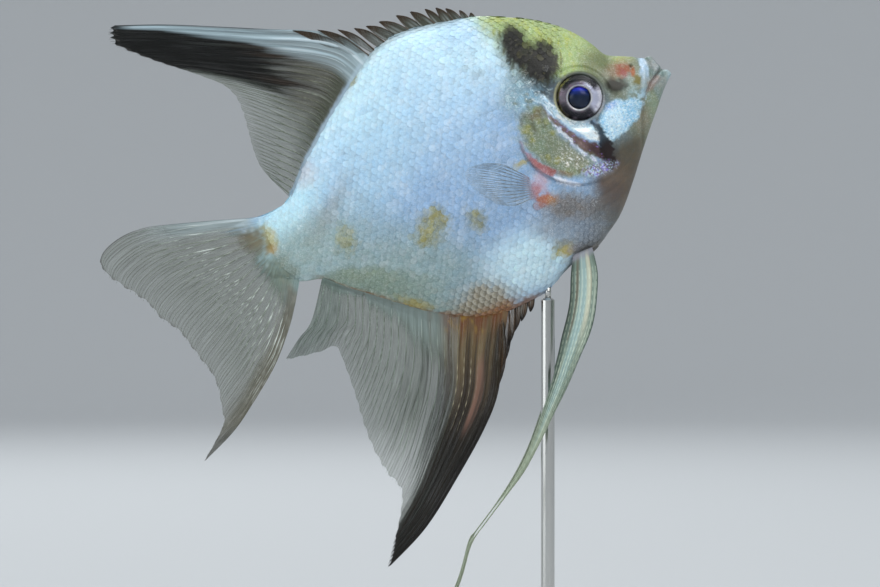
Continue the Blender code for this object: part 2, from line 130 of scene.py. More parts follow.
DISH_SIDES = 96
FLOOR_RADIUS, DISH_RADIUS, DISH_HEIGHT = 1.3, 2.2, 2.4
sweep = [(0.0001, 0.0), (FLOOR_RADIUS * 0.5, 0.0), (FLOOR_RADIUS, 0.0)]
sweep += [(FLOOR_RADIUS + (DISH_RADIUS - FLOOR_RADIUS) * math.sin(a),
           (DISH_RADIUS - FLOOR_RADIUS) * (1 - math.cos(a)))
          for a in np.linspace(0.1, math.pi / 2, 14)]
sweep += [(DISH_RADIUS, DISH_HEIGHT)]
paper, _, _ = new_material("studio_paper", (0.46, 0.48, 0.49), 0.95, Specular_IOR_Level=0.1)
make_piece("studio_floor", lathe(sweep, DISH_SIDES),
                    grid_faces(len(sweep), DISH_SIDES, True), paper)

FISH_MIDDLE = Vector(posed([(38.0, 0.0, 0.0)])[0])
for name, at, size, watts, colour in (
        ("light_key", (0.40, -0.75, 0.80), (0.6, 0.5), 5.2, (1.0, 0.99, 0.97)),
        ("light_fill", (-0.80, -0.60, 0.30), (0.7, 0.7), 2.9, (0.95, 0.98, 1.0)),
        ("light_back", (-0.25, 0.80, 0.70), (0.7, 0.5), 3.6, (0.97, 0.99, 1.0)),
        ("light_top", (0.0, 0.0, 2.2), (2.6, 2.6), 33.0, (0.99, 0.99, 1.0))):
    light = bpy.data.lights.new(name, "AREA")
    light.shape = "RECTANGLE"
    light.size, light.size_y = size
    light.energy, light.color = watts, colour
    lamp = link_object(name, light)
    lamp.location = at
    lamp.rotation_euler = (FISH_MIDDLE - Vector(at)).to_track_quat("-Z", "Y").to_euler()

world = bpy.data.worlds.new("studio_air")
world.use_nodes = True
feed(world.node_tree, world.node_tree.nodes["Background"], Color=(0.86, 0.91, 1.0, 1.0),
     Strength=0.55)
scene.world = world
scene.view_settings.view_transform = "Standard"

CAMERA_BACK = 0.55               # how far the camera stands off
FRAME_WIDTH = 0.160              # what it takes in there
CAMERA_AHEAD, CAMERA_BELOW = 0.0309, 0.00845
SENSOR_WIDTH = 36.0
camera = link_object("camera", bpy.data.cameras.new("camera"))
camera.data.sensor_width = SENSOR_WIDTH
camera.data.lens = SENSOR_WIDTH * CAMERA_BACK / FRAME_WIDTH
camera.data.clip_start, camera.data.clip_end = 0.01, 20.0
camera.location = (TAIL_ROOT[0] + CAMERA_AHEAD, -CAMERA_BACK, TAIL_ROOT[2] - CAMERA_BELOW)
camera.rotation_euler = (math.pi / 2, 0.0, 0.0)
scene.camera = camera

# ---------------------------------------------------------------- stand
# A flat walnut base with a steel rod that rises out of a collar to the belly, behind the
# pelvic fins.  The three solids stay as they are and take their finish here.
def add_node(tree, kind, **values):
    """A node of the tree's own family; set_ values are its settings, the rest its inputs."""
    family = "ShaderNode" if tree.type == "SHADER" else "GeometryNode"
    node = tree.nodes.new(family + kind)
    for name in [name for name in values if name.startswith("set_")]:
        setattr(node, name[4:], values.pop(name))
    feed(tree, node, **values)
    return node


def object_place(tree):
    return add_node(tree, "TexCoord").outputs["Object"]


def object_grain(tree, scale, stretch=(1.0, 1.0, 1.0), detail=3.0):
    """Noise in the object's own metres; stretch shortens it along an axis."""
    mapping = add_node(tree, "Mapping", Vector=object_place(tree), Scale=stretch)
    return add_node(tree, "TexNoise", Vector=mapping, Scale=scale, Detail=detail)


def ramp(tree, fac, *stops):
    """A colour ramp of (place, colour) stops."""
    node = add_node(tree, "ValToRGB", Fac=fac)
    while len(node.color_ramp.elements) < len(stops):
        node.color_ramp.elements.new(0.5)
    for element, (place, colour) in zip(node.color_ramp.elements, stops):
        element.position = place
        element.color = (*colour, 1.0)
    return node


def bumped(tree, shader, height, distance, strength):
    feed(tree, shader, Normal=add_node(tree, "Bump", Height=height, Distance=distance,
                                       Strength=strength))


def finish_nodes(material, *nodes):
    """Kept solids' new finish."""
    for node in nodes:
        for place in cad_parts[node].material_slots:
            place.material = material


walnut, tree, shader = new_material("stand_walnut", roughness=0.42, Coat_Weight=0.25,
                                    Coat_Roughness=0.25)
rings = object_grain(tree, 9.0, (1.0, 14.0, 14.0), 4.0)
fibres = object_grain(tree, 60.0, (1.0, 28.0, 28.0), 5.0)
blend = add_node(tree, "Math", set_operation="MULTIPLY_ADD", i0=fibres, i1=0.45, i2=rings)
feed(tree, shader, Base_Color=ramp(
    tree, blend, (0.42, (0.045, 0.020, 0.010)), (0.66, (0.125, 0.060, 0.030)),
    (0.86, (0.215, 0.115, 0.060))))
bumped(tree, shader, fibres, 0.0002, 0.5)
finish_nodes(walnut, "stand_base")

steel, tree, shader = new_material("stand_steel", (0.60, 0.60, 0.58), 0.28, 1.0)
brushing = object_grain(tree, 400.0, (1.0, 1.0, 0.02))
feed(tree, shader, Roughness=ramp(tree, brushing, (0.3, (0.20,) * 3), (0.7, (0.38,) * 3)))
bumped(tree, shader, brushing, 0.00004, 0.5)
finish_nodes(steel, "stand_rod", "stand_collar")


# ---------------------------------------------------------------- body: form
# The fish's flesh is one skin from lip to tail root: a loft between a back line and a belly
# line, with the bones of the head, the gill cover's edge, the lips and the eye sockets
# raised in it or sunk into it.  It lies just inside the solids, by the depth of the scales.
BACK_LINE = [
    (-1.5, 6.1), (2.5, 5.8), (5.7, 6.4), (8, 8), (11.6, 11.6), (15.2, 14.4), (19.5, 17.7),
    (23.9, 20.8), (28.6, 24), (33, 25.9), (37.2, 26.5), (41.9, 25.9), (46.4, 24.9), (50.9, 23.7),
    (55, 21.9), (59.8, 19.3), (64.3, 15.9), (67, 12.9), (68.6, 10.4), (69.9, 8), (72.2, 6.7),
    (74.4, 5.6), (75.6, 4.7), (76.8, 4.6), (77.5, 4.2), (77.9, 2.9), (78.1, 1.7), (78.8, 1.15),
    (79.3, 0.5)]
BELLY_LINE = [
    (-1.5, -5.4), (1.2, -6.6), (3, -8.2), (6.5, -9.3), (9.5, -12.4), (13.1, -15.4), (17.5, -19.1),
    (21.9, -22.6), (25.8, -25), (29.9, -27), (33.5, -27.9), (38, -28), (42.6, -27.5),
    (46.2, -26.1), (49.8, -24.5), (54, -24), (57.8, -22), (61.3, -19.6), (65.6, -15.1),
    (69.2, -10.9), (71.9, -7.9), (74.5, -5.1), (77, -2.4), (79.3, -0.4)]
HALF_WIDTH = [
    (-1.5, 1.1), (2.5, 1.5), (6, 1.9), (12, 3), (20, 4.5), (30, 5.8), (40, 6.7), (50, 7.1),
    (58, 6.8), (64, 5.9), (68, 4.9), (72, 3.7), (75, 2.8), (77.2, 2.1), (78.4, 1.5), (79.3, 0.8)]
WIDEST_HEIGHT = [(-1.5, 0.2), (20, -1.5), (45, -2.5), (58, -0.5), (68, -0.5), (76, 0), (79.3, 0.1)]
RIDGE_SHARPNESS = 1.25
COAT_DEPTH = 0.10
TAIL_END, LIP_END, HEAD_FROM = -1.5, 79.3, 44.0


def smooth_path(points, count):
    """Count places, evenly spaced along a Catmull-Rom path through the points."""
    p = np.array(points, dtype=float)
    p = np.vstack([2 * p[0] - p[1], p, 2 * p[-1] - p[-2]])
    steps = np.linalg.norm(np.diff(p, axis=0), axis=1)[1:-1]
    along = np.concatenate([[0.0], np.cumsum(steps)]) / steps.sum()
    wanted = np.linspace(0.0, 1.0, count)
    i = np.clip(np.searchsorted(along, wanted, side="right") - 1, 0, len(steps) - 1)
    u = ((wanted - along[i]) / (along[i + 1] - along[i]))[:, None]
    a, b, c, d = p[i], p[i + 1], p[i + 2], p[i + 3]
    return 0.5 * (2 * b + (c - a) * u + (2 * a - 5 * b + 4 * c - d) * u ** 2
                  + (3 * b - a - 3 * c + d) * u ** 3)


def height_on(line, s):
    path = smooth_path(line, 24 * len(line))
    order = np.argsort(path[:, 0])
    return np.interp(s, path[order, 0], path[order, 1])


def body_place(s, angle):
    """(s, y, t) on the body's left side; angle runs from -90 at the belly to 90 at the back."""
    top, bottom = height_on(BACK_LINE, s), height_on(BELLY_LINE, s)
    middle = height_on(WIDEST_HEIGHT, s)
    reach = np.where(angle > 0, top - middle, middle - bottom)
    y = height_on(HALF_WIDTH, s) * np.maximum(np.cos(angle), 0.0) ** RIDGE_SHARPNESS
    return np.stack([s + 0 * y, y, middle + reach * np.sin(angle)], axis=-1)


def body_normal(s, angle):
    ds, da = 0.02, 0.004
    low, high = np.maximum(angle - da, -math.pi / 2), np.minimum(angle + da, math.pi / 2)
    along = body_place(s + ds, angle) - body_place(s - ds, angle)
    round_it = body_place(s, high) - body_place(s, low)
    normal = np.cross(round_it, along)
    normal[..., 1] = np.maximum(normal[..., 1], 0.0)
    return normal / np.maximum(np.linalg.norm(normal, axis=-1, keepdims=True), 1e-12)


def near_path(s, t, path, count=40):
    """Distance from a path, share of the way along it, and side: positive on its left."""
    line = smooth_path(path, count)
    best = np.full(np.shape(s), 1e9)
    share, side = np.zeros(np.shape(s)), np.zeros(np.shape(s))
    for i, (a, b) in enumerate(zip(line, line[1:])):
        way = b - a
        length = way @ way
        u = np.clip(((s - a[0]) * way[0] + (t - a[1]) * way[1]) / length, 0, 1)
        ds, dt = s - a[0] - u * way[0], t - a[1] - u * way[1]
        d = np.hypot(ds, dt)
        closer = d < best
        best = np.where(closer, d, best)
        share = np.where(closer, (i + u) / (count - 1), share)
        side = np.where(closer, np.sign(way[0] * dt - way[1] * ds), side)
    return best, share, side


def ease(x, low, high):
    """Smooth step from 0 at low to 1 at high, whichever of the two is greater."""
    x = np.clip((x - low) / (high - low), 0.0, 1.0)
    return x * x * (3 - 2 * x)


def inside(s, t, outline, soft):
    """1 inside a closed smooth outline and 0 outside, with a soft edge."""
    ring, count = [*outline, outline[0]], 8 * len(outline)
    loop = smooth_path(ring, count)
    distance, _, _ = near_path(s, t, ring, count)
    within = np.zeros(np.shape(s), dtype=bool)
    for (a, b), (c, d) in zip(loop, np.roll(loop, -1, axis=0)):
        if b != d:
            crosses = ((b > t) != (d > t)) & (s < (c - a) * (t - b) / (d - b) + a)
            within ^= crosses
    return ease(np.where(within, distance, -distance), -soft, soft)


EYE_AT, EYE_RADIUS = (62.0, 2.35), 4.22
GILL_EDGE = [(52.2, 7.4), (50.9, 4.4), (49.5, 1.6), (48.9, -1.6), (49.2, -5), (51, -8.2),
             (53.4, -10.6), (57, -12.4), (61, -13)]
CHEEK_EDGE = [(55.2, 4.4), (55.9, 0.6), (57, -2.4), (58.6, -5.4), (60.2, -8.2), (62.4, -10.2)]
BROW_BONE = [(54.4, 6.4), (56.2, 3.6), (57.3, 0.4), (59.2, -2.8), (61.9, -5.2)]
MOUTH_LINE = [(79, 1.35), (77.8, 1.3), (76.6, 0.7), (75.2, -0.2), (74, -1.3), (73, -2.3)]
MAXILLA = [(75.5, 4.4), (75, 2.4), (74.1, 0.4), (73, -1.4)]
LIP_GROOVE = [(75.9, 5.2), (76.5, 3.6), (76.3, 2), (75.6, 0.7)]
JAW_CREASE = [(72.9, -2.2), (72, -4), (70, -8.6), (68.8, -11.6)]
JAW_RIDGE = [(78.2, -0.2), (76.2, -2.4), (74.2, -4.6), (71.6, -7.2)]
THROAT_FOLDS = [[(58.0, -13.6), (62.0, -13.2), (66.0, -11.6), (69.0, -9.4)],
                [(57.6, -15.6), (61.6, -15.2), (65.4, -13.6)],
                [(57.6, -17.6), (60.8, -17.4), (63.4, -16.2)]]
NOSTRIL = (73.1, 4.1)


def relief(s, y, t):
    """How far the skin stands out from the plain loft, in millimetres."""
    out = np.zeros(np.shape(s))
    head = s > HEAD_FROM
    s, y, t = s[head], y[head], t[head]
    rise = np.zeros(len(s))

    def ridge(path, height, width, start=0.0, end=1.0):
        """A rounded line along a path, full between its shares start and end."""
        d, share, _ = near_path(s, t, path)
        line = height * np.exp(-(d / width) ** 2)
        line = line * ease(share, 0.0, start) if start > 0 else line
        return line * ease(share, 1.0, end) if end < 1 else line

    # the gill cover's free edge stands over a groove in the shoulder
    d, share, side = near_path(s, t, GILL_EDGE)
    d = d * side
    ends = ease(share, 0.0, 0.12) * ease(share, 1.0, 0.86) * (1 - 0.6 * ease(t, -4.0, 1.0))
    rise += ends * (0.34 * ease(d, -0.10, 0.16) * np.exp(-np.maximum(d, 0) / 2.6)
                    - 0.42 * np.exp(-np.maximum(-d, 0) / 0.9) * ease(d, 0.1, -0.12))
    # ridge of the cheek bone, the bone under the eye and the channel between them
    rise += ridge(CHEEK_EDGE, 0.16, 0.34, 0.1, 0.9)
    rise += ridge(BROW_BONE, 0.24, 0.75, 0.15, 0.85)
    # socket with a soft rim round the eyeball
    r = np.hypot(s - EYE_AT[0], t - EYE_AT[1])
    rise += 0.22 * np.exp(-((r - EYE_RADIUS - 0.35) / 0.45) ** 2)
    rise -= 2.2 * ease(r, EYE_RADIUS + 0.10, EYE_RADIUS - 0.55)
    rise -= 0.16 * np.exp(-((r - EYE_RADIUS - 1.3) / 0.4) ** 2)
    # nostril
    r = np.hypot(s - NOSTRIL[0], (t - NOSTRIL[1]) * 0.8)
    rise += 0.12 * np.exp(-((r - 0.42) / 0.16) ** 2) - 0.45 * np.exp(-(r / 0.22) ** 2)
    # mouth and lips, upper jaw bone and the creases of jaw and throat
    rise += ridge(MOUTH_LINE, -0.40, 0.20, end=0.7)
    d, _, _ = near_path(s, t, MOUTH_LINE)
    rise += 0.22 * np.exp(-((d - 0.62) / 0.36) ** 2) * ease(s, 74.6, 76.4)
    rise += ridge(MAXILLA, 0.26, 0.55, end=0.85)
    rise += ridge(LIP_GROOVE, -0.26, 0.26)
    rise += ridge(JAW_CREASE, -0.22, 0.28, end=0.6)
    rise += ridge(JAW_RIDGE, 0.16, 0.5, end=0.8)
    for fold in THROAT_FOLDS:
        rise += ridge(fold, -0.14, 0.30, 0.2, 0.8)
    # muscle over the gape, and the roots of the pectoral fins
    rise += 0.30 * np.exp(-(((s - 66.5) / 2.6) ** 2 + ((t + 5.5) / 3.0) ** 2))
    rise += 0.55 * np.exp(-(((s - 48.2) / 1.7) ** 2 + ((t + 10.0) / 2.6) ** 2))
    out[head] = rise * ease(np.abs(y), 0.0, 0.5)
    return out


def skin_place(s, angle):
    """Skin place and outward way on the left side."""
    place, normal = body_place(s, angle), body_normal(s, angle)
    lift = relief(*np.moveaxis(place, -1, 0)) - COAT_DEPTH
    return place + normal * lift[..., None], normal

# ---------------------------------------------------------------- body: markings
# One set of markings colours skin and scales alike: icy blue-white over the flank, gold and
# a black double blotch on the nape, silver under the eye, gold flecks low on the sides.
# Painted light goes with them: a lighter back, shade painted low down, under the head and in its
# grooves, and silver painted bright as its reflection.
def tone(red, green, blue):
    """Linear colour of an sRGB one given in 0 to 255."""
    c = np.array([red, green, blue]) / 255.0
    return np.where(c <= 0.04045, c / 12.92, ((c + 0.055) / 1.055) ** 2.4)


def grain(places, size, seed, octaves=2):
    """Smooth random shade from 0 to 1, in lumps of the given size."""
    total, weight = 0.0, 0.0
    for octave in range(octaves):
        q = np.asarray(places) / np.asarray(size) * 2.0 ** octave + seed * 17.31 + 500.0
        cell = np.floor(q).astype(np.int64)
        f = q - cell
        f = f * f * (3 - 2 * f)
        value = 0.0
        for corner in range(8):
            step = np.array([(corner >> k) & 1 for k in range(3)])
            c = cell + step
            h = (c[..., 0] * 374761393 + c[..., 1] * 668265263 + c[..., 2] * 2147483647
                 + seed * 97531) & 0xFFFFFFFF
            h = ((h ^ (h >> 13)) * 1274126177) & 0xFFFFFFFF
            h = ((h ^ (h >> 16)) * 2246822519) & 0xFFFFFFFF
            value = value + (h ^ (h >> 15)) / 4294967295.0 * np.prod(
                np.where(step == 1, f, 1 - f), axis=-1)
        total = total + value / 2 ** octave
        weight += 1 / 2 ** octave
    return total / weight


def plain(like, *colour):
    """Paint of one colour for every place."""
    return np.ones(np.shape(like) + (3,)) * tone(*colour)


def lay(paint, mask, *colour):
    """Lay a colour, given as three tones or as rows of paint, over paint by a mask."""
    colour = tone(*colour) if len(colour) == 3 else colour[0]
    paint += (colour - paint) * np.clip(mask, 0, 1)[..., None]
    return paint


def coats(paint, mask, *rows):
    """Lays in turn by one mask: strength, three tones, then any masks that narrow it."""
    for strength, red, green, blue, *narrower in rows:
        share = strength * mask
        for part in narrower:
            share = share * part
        lay(paint, share, red, green, blue)


def dab(s, t, at, size, turn, soft, ragged=0.0, noise=0.5):
    """Soft-edged oval mark; size is its two half-lengths and turn its tilt in degrees."""
    c, d = math.cos(math.radians(turn)), math.sin(math.radians(turn))
    ds, dt = s - at[0], t - at[1]
    r = np.hypot((ds * c + dt * d) / size[0], (dt * c - ds * d) / size[1])
    return ease(r + ragged * (noise - 0.5), 1 + soft, 1 - soft)


def spots(paint, s, t, noise, *rows):
    """Dabs laid in turn: strength, place, size, turn, softness, raggedness and colour."""
    for strength, at, size, turn, soft, ragged, colour in rows:
        lay(paint, strength * dab(s, t, at, size, turn, soft, ragged, noise), *colour)


def pitched(s, t):
    """How far ahead and how high a place lies once the fish points up."""
    return (s * math.cos(PITCH) - t * math.sin(PITCH), s * math.sin(PITCH) + t * math.cos(PITCH))


def upright(place, ahead, across, high, seed):
    """Noise in upright streaks on the pitched fish, by how finely it repeats each way."""
    level, height = pitched(place[..., 0], place[..., 2])
    return grain(np.stack([level * ahead, place[..., 1] * across, height * high], -1), 1.0, seed)


CHEEK_PATCH = [
    (66, -0.8), (67.9, -0.6), (69.6, -1.2), (71.4, -1.8), (72.6, -2.9), (71.2, -4.3), (69.8, -5.4),
    (67.9, -6.2), (65.7, -6.9), (63.9, -7.2), (63.7, -6.1), (63.5, -4.6), (63.7, -2.9),
    (64.8, -1.7)]
SILVER_BAND = [
    (53.8, 6.6), (55.9, 5.8), (56.8, 3.8), (58, 1.1), (59.6, -1), (61.9, -2.7), (62.5, -4.1),
    (62.2, -6.4), (59.6, -3.9), (57.7, -1.3), (56.3, 1.5), (55.5, 3.6), (54.2, 5.2)]
RUST_BAND = [(54.8, 3.7), (55.7, 2), (56.4, 0.9), (57.6, -1.6), (59.4, -4.4), (61.9, -6.9),
             (62.9, -9.4), (61.3, -9.4), (59.1, -7), (57.6, -4.3), (56.4, -1.3), (55.2, 1)]
GILL_PLATE = [
    (50.8, 3.4), (52.5, 4), (54.6, 3.4), (55.3, 0.7), (56.2, -2.4), (57.7, -5.6), (60, -9.2),
    (58.3, -10.9), (54.9, -9.8), (52.3, -8.2), (51, -6.2), (50, -3.6), (49.7, -1.2), (49.9, 1)]
CHEEK_LINE = [(55.4, 2.6), (55.7, 0.3), (56.5, -1.9), (57.5, -4.3), (58.5, -6.4), (60.2, -9.2)]
RED_EDGE = [(49.2, -0.6), (49.2, -3.4), (50.1, -5.8), (51.9, -8.1)]
CRESCENT = [(51.5, -8.5), (53, -10.1), (54.8, -11.6), (57, -12.5)]
DARK_BAR = [(62.4, -2.6), (62.8, -4.4), (63.2, -6.2), (63.1, -8.2), (62.4, -10.2)]
NAPE_LOBES = [[(56.3, 19.4), (54.5, 18.8), (52.9, 16.5), (53.1, 12.7), (55.3, 11.0), (57.4, 12.8),
               (57.8, 15.4), (57.5, 17.9)],
              [(58.6, 14.6), (60.4, 14.3), (61.5, 12.0), (61.1, 9.4), (59.9, 7.8), (58.0, 7.2),
               (56.2, 8.2), (54.7, 10.3), (55.9, 12.9)]]


def head_marks_and_painted_light(place, paint, silver):
    """The head's and nape's marks, with painted shade and painted reflection among them, laid over
    the ground colour.
    """
    s, y, t = place[:, 0], np.abs(place[:, 1]), place[:, 2]
    lump = grain(place, 3.2, 3)
    fine = grain(place, 0.7, 5)
    speck = grain(place, 0.28, 7, 1)
    dust = grain(place, 0.17, 9, 1)
    streak = upright(place, 3.2, 1, 0.45, 11)
    comb = upright(place, 6.5, 2, 0.9, 12)

    # every mark's edge wanders a little, so that none looks drawn
    ws = s + 0.8 * (grain(place, 1.5, 21) - 0.5) + 0.5 * (grain(place, 0.45, 22) - 0.5)
    wt = t + 0.8 * (grain(place, 1.5, 25) - 0.5) + 0.5 * (grain(place, 0.45, 26) - 0.5)

    # gold nape and forehead with fine upright streaks
    gold = ease(ws + 0.30 * wt + 1.6 * (streak - 0.5), 55.2, 60.4) * ease(wt + 0.55 * ws, 37.5, 41)
    coats(paint, gold, (0.94, 150, 170, 92), (0.75, 170, 178, 66, ease(streak, 0.50, 0.70)),
          (0.45, 104, 124, 78, ease(comb, 0.44, 0.28)),
          (0.55, 196, 212, 150, ease(comb, 0.62, 0.80)))
    lay(paint, 0.6 * dab(s, t, (66.0, 10.0), (2.6, 3.2), -50, 0.6), 158, 178, 118)
    fore = dab(s, t, (67.6, 5.8), (3.6, 4.0), 0, 0.6)
    lay(paint, 0.9 * fore, 106, 114, 80)
    lay(paint, 0.8 * dab(s, t, (73.0, 5.5), (2.0, 0.8), -25, 0.5, 0.3, fine), 140, 150, 78)

    # speckled grey shoulder between the nape and the gill cover, darker behind the eye, and
    # the black double blotch above it
    shoulder = dab(ws, wt, (53.6, 7.4), (4.4, 3.2), 25, 0.6)
    coats(paint, shoulder, (0.75, 118, 146, 150),
          (0.75, 184, 226, 236, ease(speck + 0.3 * fine, 0.78, 0.98)),
          (0.6, 112, 120, 74, ease(fine, 0.42, 0.25)))
    shade = dab(ws, wt, (57.2, 6.3), (2.8, 3.4), 12, 0.6)
    coats(paint, shade, (0.88, 54, 62, 62), (0.45, 150, 176, 184, ease(speck, 0.62, 0.8)),
          (0.5, 60, 48, 44, ease(dust, 0.3, 0.2)))
    blue = dab(ws, wt, (54.0, 6.0), (2.3, 1.7), 0, 0.7)
    lay(paint, 0.6 * blue * ease(fine, 0.3, 0.6), 146, 190, 214)
    silver = silver + 0.25 * shoulder * ease(speck, 0.5, 0.8)
    lobes = np.maximum(*(inside(ws, wt, lobe, 2.0) for lobe in NAPE_LOBES))
    blotch = ease(lobes + 1.0 * (comb - 0.5) + 0.5 * (streak - 0.5), 0.06, 0.80)
    core = ease(lobes + 0.4 * (comb - 0.5), 0.35, 0.85)
    lay(paint, 0.94 * blotch, 44, 45, 30)
    lay(paint, 0.96 * core, 4, 4, 2)
    lay(paint, 0.40 * blotch * ease(speck + 0.4 * comb, 0.92, 1.15), 118, 116, 78)

    # snout and throat: bare olive and warm grey skin; the throat's dark grey-brown is partly
    # painted shade under the head
    snout = ease(s + 0.1 * t, 66.0, 68.5)
    lay(paint, 0.9 * ease(s, 61.6, 64.0) * ease(t, 5.2, 2.5), 104, 116, 112)
    lay(paint, 0.9 * snout * ease(t, 6.4, 4.4), 118, 124, 104)
    throat = ease(0.72 * s - t * 0.69 - 2.0 * (lump - 0.5), 50.5, 53.8) * ease(t, -6.2, -9.5)
    chin = ease(s - 0.22 * t + 1.5 * (lump - 0.5), 71.2, 74.0) * ease(t, -0.5, -2.5)
    low = ease(s - 0.10 * t + 1.5 * (lump - 0.5), 57.0, 61.5) * ease(t, -10.0, -13.0)
    throat = np.maximum(np.maximum(throat, chin), low)
    coats(paint, throat, (0.95, 90, 84, 70),
          (0.45, 104, 80, 72, dab(s, t, (60.0, -14.5), (5.5, 4.0), 20, 0.6)),
          (0.70, 152, 170, 142, ease(s - 0.1 * t, 69.0, 75.0)),
          (0.30, 124, 112, 96, ease(lump, 0.45, 0.7)))
    lay(paint, 0.5 * dab(s, t, (55.5, -18.0), (4.0, 5.5), 30, 0.7), 112, 122, 128)
    spots(paint, ws, wt, fine,
          (0.82, (51.2, -18.2), (5.8, 3.3), -23, 0.45, 0.5, (138, 150, 164)),
          (0.85, (52.6, -14.6), (4.9, 2.2), -23, 0.5, 0.6, (120, 112, 104)),
          (0.55, (71.0, -5.8), (1.7, 2.2), -30, 0.6, 0, (146, 138, 116)),
          (0.65, (72.0, 0.3), (2.2, 2.4), 0, 0.6, 0, (138, 158, 152)))

    # a dark smudge, red, orange and olive spots before the eye
    spots(paint, ws, wt, fine,
          (0.94, (69.0, 1.9), (1.9, 1.45), -25, 0.5, 0.5, (30, 27, 18)),
          (0.55, (70.6, 4.6), (2.2, 1.3), 10, 0.6, 0.7, (148, 112, 84)),
          (0.85, (71.5, 4.0), (1.1, 1.0), 20, 0.5, 1.2, (146, 78, 50)),
          (0.75, (71.4, 3.3), (0.55, 0.85), 0, 0.5, 0.6, (142, 76, 74)),
          (0.92, (73.0, 2.9), (0.45, 1.05), -14, 0.45, 0.5, (156, 80, 18)),
          (0.92, (73.0, 0.9), (0.95, 1.05), 0, 0.6, 1.0, (110, 100, 20)))

    # silver of the cheek, with dark pinpoints and an edge that breaks up forwards; its near-white
    # paint is partly the silver's painted reflection
    patch = inside(ws, wt, CHEEK_PATCH, 0.45)
    patch = patch * (1 - 0.75 * ease(s, 70.3, 72.2) * ease(fine + 0.4 * speck, 0.75, 0.5))
    coats(paint, patch, (0.97, 154, 210, 242),
          (0.70, 212, 240, 252, dab(s, t, (66.2, -4.2), (3.0, 1.5), 70, 0.7)),
          (0.75, 226, 247, 255, ease(speck + 0.4 * fine, 0.72, 0.95)),
          (0.55, 84, 140, 172, ease(dust, 0.34, 0.18)),
          (0.6, 128, 150, 212, dab(s, t, (66.4, -1.0), (1.5, 0.8), 0, 0.6)))
    silver = np.maximum(silver, 0.30 * patch)
    drops = dab(ws, wt, (71.9, -2.0), (1.7, 1.7), 0, 0.6) * ease(fine + 0.4 * speck, 0.66, 0.82)
    lay(paint, 0.75 * drops, 176, 210, 226)

    # rust band, then the bright streaked band under the eye and the dark bar that ends it
    rust = inside(ws, wt, RUST_BAND, 0.32)
    coats(paint, rust, (0.95, 106, 82, 74), (0.5, 140, 112, 104, ease(fine, 0.55, 0.75)))
    low_rust = dab(ws, wt, (61.4, -8.0), (2.4, 1.5), -55, 0.6)
    coats(paint, rust, (0.75, 54, 32, 38, low_rust),
          (0.8, 150, 122, 200, ease(dust + 0.3 * speck, 0.92, 1.05)))
    # the band's near-white paint is partly the silver's painted reflection; one white streak low
    # along it is a painted highlight
    band = inside(ws, wt, SILVER_BAND, 0.26) * ease(t + 2.2 * (fine - 0.5), 6.2, 3.6)
    lines, _, _ = near_path(ws, wt, BROW_BONE)
    lines = grain(np.stack([lines * 5.5, y, (s - t) * 0.35], -1), 1.0, 13)
    coats(paint, band, (1, 190, 224, 240),
          (0.6, 88, 104, 124, ease(lines, 0.50, 0.34), ease(t, -4.4, -1.2)),
          (0.95, 248, 254, 255, ease(lines, 0.50, 0.66)),
          (0.7, 244, 253, 255, dab(s, t, (61.0, -4.3), (2.6, 0.8), -42, 0.7)),
          (0.4, 120, 170, 196, ease(dust, 0.32, 0.2)))
    silver = np.maximum(silver, 0.30 * band)
    bar, share, _ = near_path(ws, wt, DARK_BAR)
    wide = 0.40 + 0.72 * ease(share, 0.0, 0.65)
    bar = ease(bar + 0.9 * (fine - 0.5) + 0.5 * (speck - 0.5), wide + 0.30, wide - 0.35)
    deep = ease(share, 0.35, 0.75)
    lay(paint, (0.80 + 0.18 * deep) * bar, 6, 14, 20)
    lay(paint, 0.8 * bar * deep, 26, 16, 17)
    lay(paint, 0.6 * dab(ws, wt, (63.4, -9.0), (1.3, 1.9), -10, 0.7), 46, 34, 34)

    # gill cover: mottled olive gold, glittering below, red along its free edge
    plate = inside(ws, wt, GILL_PLATE, 1.1)
    coats(paint, plate, (0.92, 116, 124, 88),
          (0.65, 126, 144, 118, ease(lump + 0.3 * fine, 0.66, 0.5)),
          (0.70, 148, 148, 74, ease(grain(place, 1.2, 17), 0.50, 0.70)),
          (0.55, 84, 84, 62, ease(grain(place, 0.9, 19), 0.42, 0.25)),
          (0.6, 112, 96, 82, dab(ws, wt, (53.8, 2.6), (1.8, 0.9), -10, 0.6)),
          (0.35, 184, 188, 160, ease(speck + 0.3 * fine, 0.86, 1.0)))
    cream = plate * dab(ws, wt, (56.4, -7.0), (2.6, 1.9), -35, 0.6)
    coats(paint, cream, (0.45, 164, 164, 142),
          (0.9, 240, 238, 230, ease(speck + 0.3 * fine, 0.76, 0.92)))
    rust = dab(ws, wt, (53.9, -9.3), (1.6, 0.8), -35, 0.5, 0.8, fine)
    lay(paint, 0.6 * plate * rust, 134, 80, 56)
    silver = np.maximum(silver, 0.15 * plate + 0.3 * cream * ease(speck, 0.5, 0.8))
    glitter = dab(ws, wt, (60.2, -10.7), (2.9, 1.15), -8, 0.5)
    coats(paint, glitter, (0.7, 120, 110, 118),
          (0.9, 150, 138, 226, ease(speck + 0.3 * fine, 0.70, 0.84)),
          (0.9, 196, 236, 248, ease(dust + 0.3 * fine, 0.76, 0.90)))
    silver = np.maximum(silver, 0.35 * glitter)
    d, share, _ = near_path(ws, wt, CHEEK_LINE)
    line = ease(d + 0.5 * (fine - 0.5), 0.34, 0.12) * ease(share, 0.0, 0.06)
    line = line * (0.15 + 0.85 * ease(grain(place, 0.9, 35), 0.40, 0.58))
    coats(paint, line, (0.95, 226, 236, 246), (0.6, 150, 130, 200, ease(dust, 0.45, 0.25)))
    silver = np.maximum(silver, 0.4 * line)
    d, share, _ = near_path(ws, wt, RED_EDGE)
    wide = 0.16 + 0.52 * ease(share, 0.15, 0.75)
    red = ease(d + 0.4 * (fine - 0.5), wide + 0.32, wide - 0.22)
